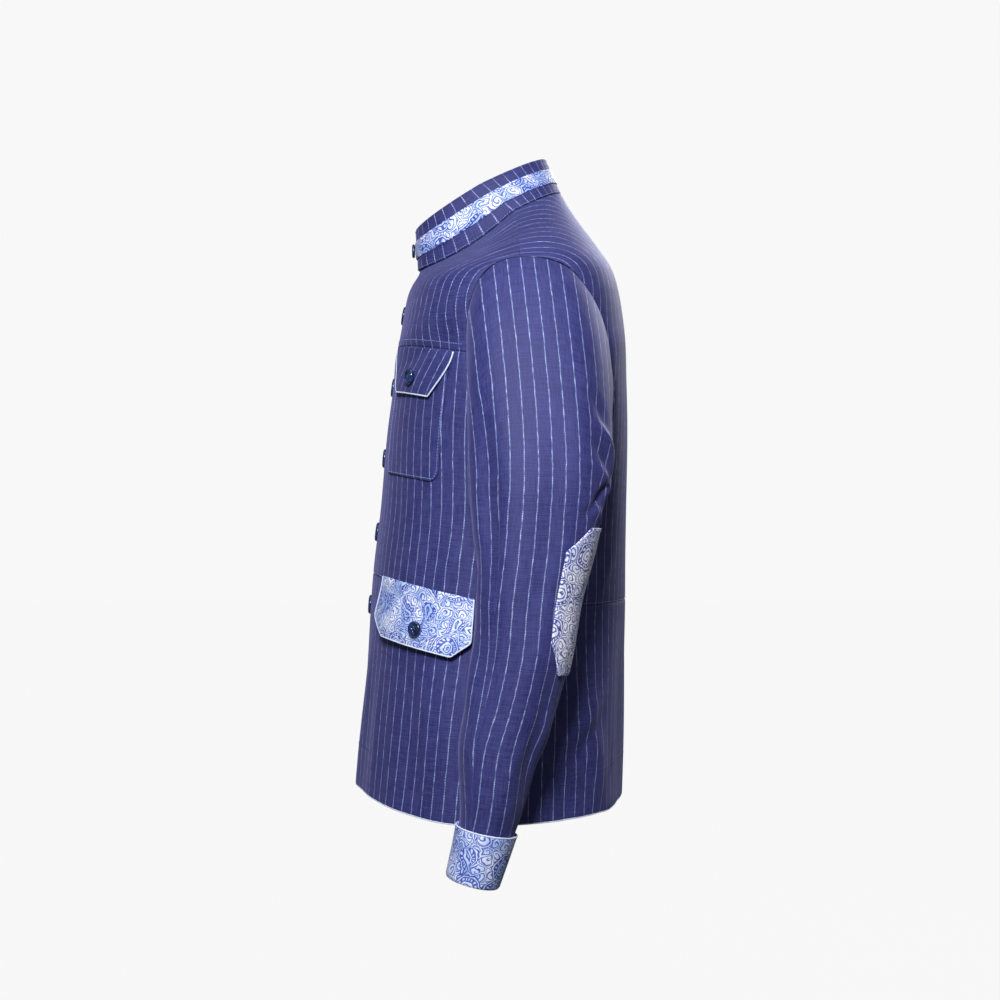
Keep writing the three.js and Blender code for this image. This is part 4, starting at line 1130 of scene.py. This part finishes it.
shoulder_level = np.linspace(level_of("outer shoulder") - 0.035, 0.995, 60)
shoulder_lines = [
    on_surface(body_point, 0 * shoulder_level + sign * math.radians(88.2), shoulder_level, 0.1)
    for sign in (1, -1)
]
stitching("shoulder_stitching", shoulder_lines, navy_thread)


def along_laid(cut, inset, from_edge, lift, right):
    i, share = laid_line(cut, inset, from_edge)
    turn, level = laid_place(cut, inset, i, share)
    return on_surface(body_point, -turn if right else turn, level, laid_lift(cut, share) + lift)


for name, cut, inset, from_edge, finish in (
    ("pocket_stitching", BREAST_POCKET, pocket_inset, 2.2, blue_thread),
    ("breast_flap_stitching", BREAST_FLAP, breast_flap_inset, 4.5, navy_thread),
    ("lower_flap_stitching", LOWER_FLAP, lower_flap_inset, 4.0, blue_thread),
):
    stitching(name, [along_laid(cut, inset, from_edge, 0.0, right) for right in (False, True)], finish)
for name, cut, inset in (
    ("breast_flap_piping", BREAST_FLAP, breast_flap_inset),
    ("lower_flap_piping", LOWER_FLAP, lower_flap_inset),
):
    piping(name, [along_laid(cut, inset, 0.1, -0.7, right) for right in (False, True)], piping_cord)

collar_turns = np.linspace(-0.17, 2 * math.pi - 0.3, 200)
for name, height, finish in (
    ("collar_stitching", 0.04, blue_thread), ("collar_edge_stitching", 0.95, navy_thread),
):
    stitching(name, [on_surface(collar_point, collar_turns, 0 * collar_turns + height, 0.1)], finish)

rounds = np.linspace(-0.5, 0.5, 90)
patch_corners = [(0.03, 0.02), (0.97, 0.02), (0.97, 0.98), (0.03, 0.98), (0.03, 0.02)]
patch_round = np.concatenate([np.linspace(a, b, 50) for a, b in zip(patch_corners, patch_corners[1:])])
cuff_edges, patch_edges = [], []
for side in ("left", "right"):
    top = on_surface(sleeve_plain, rounds, 0 * rounds + cuff_low, CUFF_LOOSE + CUFF_THICK - 0.5)
    edge = on_surface(sleeve_surface(side), *patch_place(*patch_round.T), PATCH_LIFT)
    cuff_edges.append(mirrored_line(top) if side == "right" else top)
    patch_edges.append(mirrored_line(edge) if side == "right" else edge)
piping("cuff_piping", cuff_edges, piping_cord)
stitching("elbow_patch_stitching", patch_edges, blue_thread)

hem_edges = [
    round_body(low, high, 0, 0.4, -0.8, count)
    for low, high, count in ((-7, 89.6, 170), (90.4, 269.6, 240), (-89.6, -7, 170))
]
piping("hem_piping", hem_edges, piping_cord, radius=0.75)


# Buttons

FRONT_BUTTON_HEIGHTS = [-77, -160, -242, -327, -411]
FRONT_RADIUS, FRONT_THICK = 11, 4.6
FLAP_RADIUS, FLAP_THICK = 8.5, 5.0
COLLAR_RADIUS, COLLAR_THICK = 8.0, 3.4
BUTTON_PROFILE = [                      # from the back's edge over the rim to the middle
    (0.5, 0), (0.8, 0.0), (0.92, 0.1), (0.985, 0.26), (1.0, 0.42), (0.99, 0.58), (0.95, 0.76), (0.89, 0.88),
    (0.82, 0.93), (0.75, 0.9), (0.68, 0.83), (0.6, 0.77), (0.5, 0.74), (0.42, 0.73), (0.34, 0.73),
    (0.27, 0.73), (0.2, 0.73), (0.13, 0.73), (0.06, 0.73),
]
FACE = 0.73                             # the dished face's height, as a share of the thickness
HOLE_OUT, HOLE_DEEP, HOLE_WIDE = 0.2, 1.3, 0.9
THREAD_RADIUS, THREAD_ABOVE = 0.45, 0.25


def sewn_button(node, radius, thick, centre, out):
    """A four-hole button: rolled rim, dished face, and thread across its holes."""
    out = Vector(out).normalized()
    sides = 56
    reach = HOLE_OUT * radius
    holes = [(reach * a, reach * b) for a in (-1, 1) for b in (-1, 1)]
    points = []
    for r, h in BUTTON_PROFILE:
        for k in range(sides):
            t = 2 * math.pi * k / sides
            x, y, z = r * radius * math.cos(t), r * radius * math.sin(t), h * thick
            if h > 0.6:
                aways = [((x - hx) ** 2 + (y - hy) ** 2) / HOLE_WIDE for hx, hy in holes]
                z -= sum(HOLE_DEEP * math.exp(-away ** 2) for away in aways)
            points.append((x, y, z))
    faces = [
        [r * sides + k, r * sides + (k + 1) % sides, (r + 1) * sides + (k + 1) % sides, (r + 1) * sides + k]
        for r in range(len(BUTTON_PROFILE) - 1) for k in range(sides)
    ]
    faces.append(list(range(sides))[::-1])
    faces.append([len(points) - sides + k for k in range(sides)])
    turned = Vector((0, 0, 1)).rotation_difference(out).to_matrix()

    def placed(places):
        return np.array([turned @ Vector(place) + Vector(centre) for place in places])
    thing = make_object(node + "_turned", placed(points), faces, resin)
    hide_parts(node)
    top = thick * FACE + THREAD_ABOVE
    across = ((-1, -1.0), (-0.4, 0.1), (0.4, 0.1), (1, -1.0))      # share of a hole's reach, height
    rows = [[(reach * share, sign * reach * share, top + h) for share, h in across] for sign in (-1, 1)]
    lines = [(placed(row), np.array([list(out)] * 4)) for row in rows]
    piping(node + "_thread", lines, navy_thread, radius=THREAD_RADIUS, sides=6)


CENTRE_FRONT = np.float64(0)
for number, z in enumerate(FRONT_BUTTON_HEIGHTS, 1):
    level = level_at_height(CENTRE_FRONT, z)
    out = outward(body_point, CENTRE_FRONT, level)
    out[0] = 0
    out = unit(out)
    centre = body_point(CENTRE_FRONT, level) + out * (CLEAR + SEAM)
    sewn_button(f"button_front_{number}", FRONT_RADIUS, FRONT_THICK, centre, out)

# Each flap's button: how far along the flap from its rear, how far down, and its seat
for name, cut, along, share, seat_lift in (
    ("breast", BREAST_FLAP, 0.47, 0.64, 1.5), ("lower", LOWER_FLAP, 0.43, 0.7, 1.1),
):
    rear = math.radians(cut.rear)
    middle = np.float64(walk_forward(cut.top, rear, cut.width * along))
    z = body_plain(middle, cut.top)[2] - cut.depth * share
    level = level_at_height(middle, z)
    for side, sign in (("left", 1), ("right", -1)):
        out = outward(body_point, sign * middle, level)
        centre = body_point(sign * middle, level) + out * (laid_lift(cut, share) + seat_lift)
        sewn_button(f"button_{name}_{side}", FLAP_RADIUS, FLAP_THICK, centre, out)

collar_face = collar_point(0.0, 0.5) - np.array([0, CLEAR + LAYER, 0])
sewn_button("button_collar", COLLAR_RADIUS, COLLAR_THICK, collar_face, (0, -1, 0))


# Studio: pale paper floor, soft light, and the camera level at the wearer's left

def paper():
    """Matt seamless background paper, so evenly lit that no shadow shows on it."""
    material, tree, shader = start_material("seamless_paper")
    feed(tree, shader, {
        "Base Color": colour("#101010"), "Roughness": 1.0, "Specular IOR Level": 0.0,
        "Emission Color": colour("#f7f7f7"), "Emission Strength": 1.0,
    })
    return material


FLOOR_AT, FLOOR_HALF = -1.15, 14.0
floor_mesh = bpy.data.meshes.new("paper_floor")
floor_corners = [(a * FLOOR_HALF, b * FLOOR_HALF, FLOOR_AT) for a, b in ((-1, -1), (1, -1), (1, 1), (-1, 1))]
floor_mesh.from_pydata(floor_corners, [], [[0, 1, 2, 3]])
floor_mesh.materials.append(paper())
floor = link_object("paper_floor", floor_mesh)
floor.visible_diffuse = floor.visible_glossy = False

world = bpy.data.worlds.new("studio")
bpy.context.scene.world = world
world.use_nodes = True
FILL_STRENGTH = 0.15                    # the room's light, beside the pale backdrop that is seen
seen = add(world.node_tree, "LightPath", {}, "Is Camera Ray")
strength = add(world.node_tree, "MapRange", {"Value": seen, "To Min": FILL_STRENGTH, "To Max": 1.0})
background = world.node_tree.nodes["Background"]
feed(world.node_tree, background, {"Color": colour("#f8f8f8"), "Strength": strength})


def soft_light(name, place, aim, size, watts):
    light = bpy.data.lights.new(name, "AREA")
    light.shape, light.size, light.energy = "DISK", size, watts
    lamp = link_object(name, light)
    lamp.location = place
    lamp.rotation_euler = (Vector(aim) - Vector(place)).to_track_quat("-Z", "Y").to_euler()


soft_light("key_light", (1.75, -0.26, 0.62), (0.25, -0.03, -0.25), 0.5, 46)
soft_light("far_light", (-2.0, 1.1, 0.8), (0.0, 0.0, -0.3), 1.2, 42)
soft_light("top_light", (0.6, -0.3, 2.4), (0.1, 0.0, -0.1), 1.4, 14)

CAMERA_AWAY, CAMERA_Y, CAMERA_Z = 2.2, -0.02, -0.29
PHOTO_WIDTH, SENSOR = 1.16, 36.0        # the photograph is this wide at the origin, in metres
camera_data = bpy.data.cameras.new("camera")
camera_data.sensor_width = SENSOR
camera_data.lens = SENSOR * CAMERA_AWAY / PHOTO_WIDTH
camera = link_object("camera", camera_data)
camera.location = (CAMERA_AWAY, CAMERA_Y, CAMERA_Z)
camera.rotation_euler = (math.pi / 2, 0, math.pi / 2)
bpy.context.scene.camera = camera
bpy.context.scene.view_settings.view_transform = "Standard"
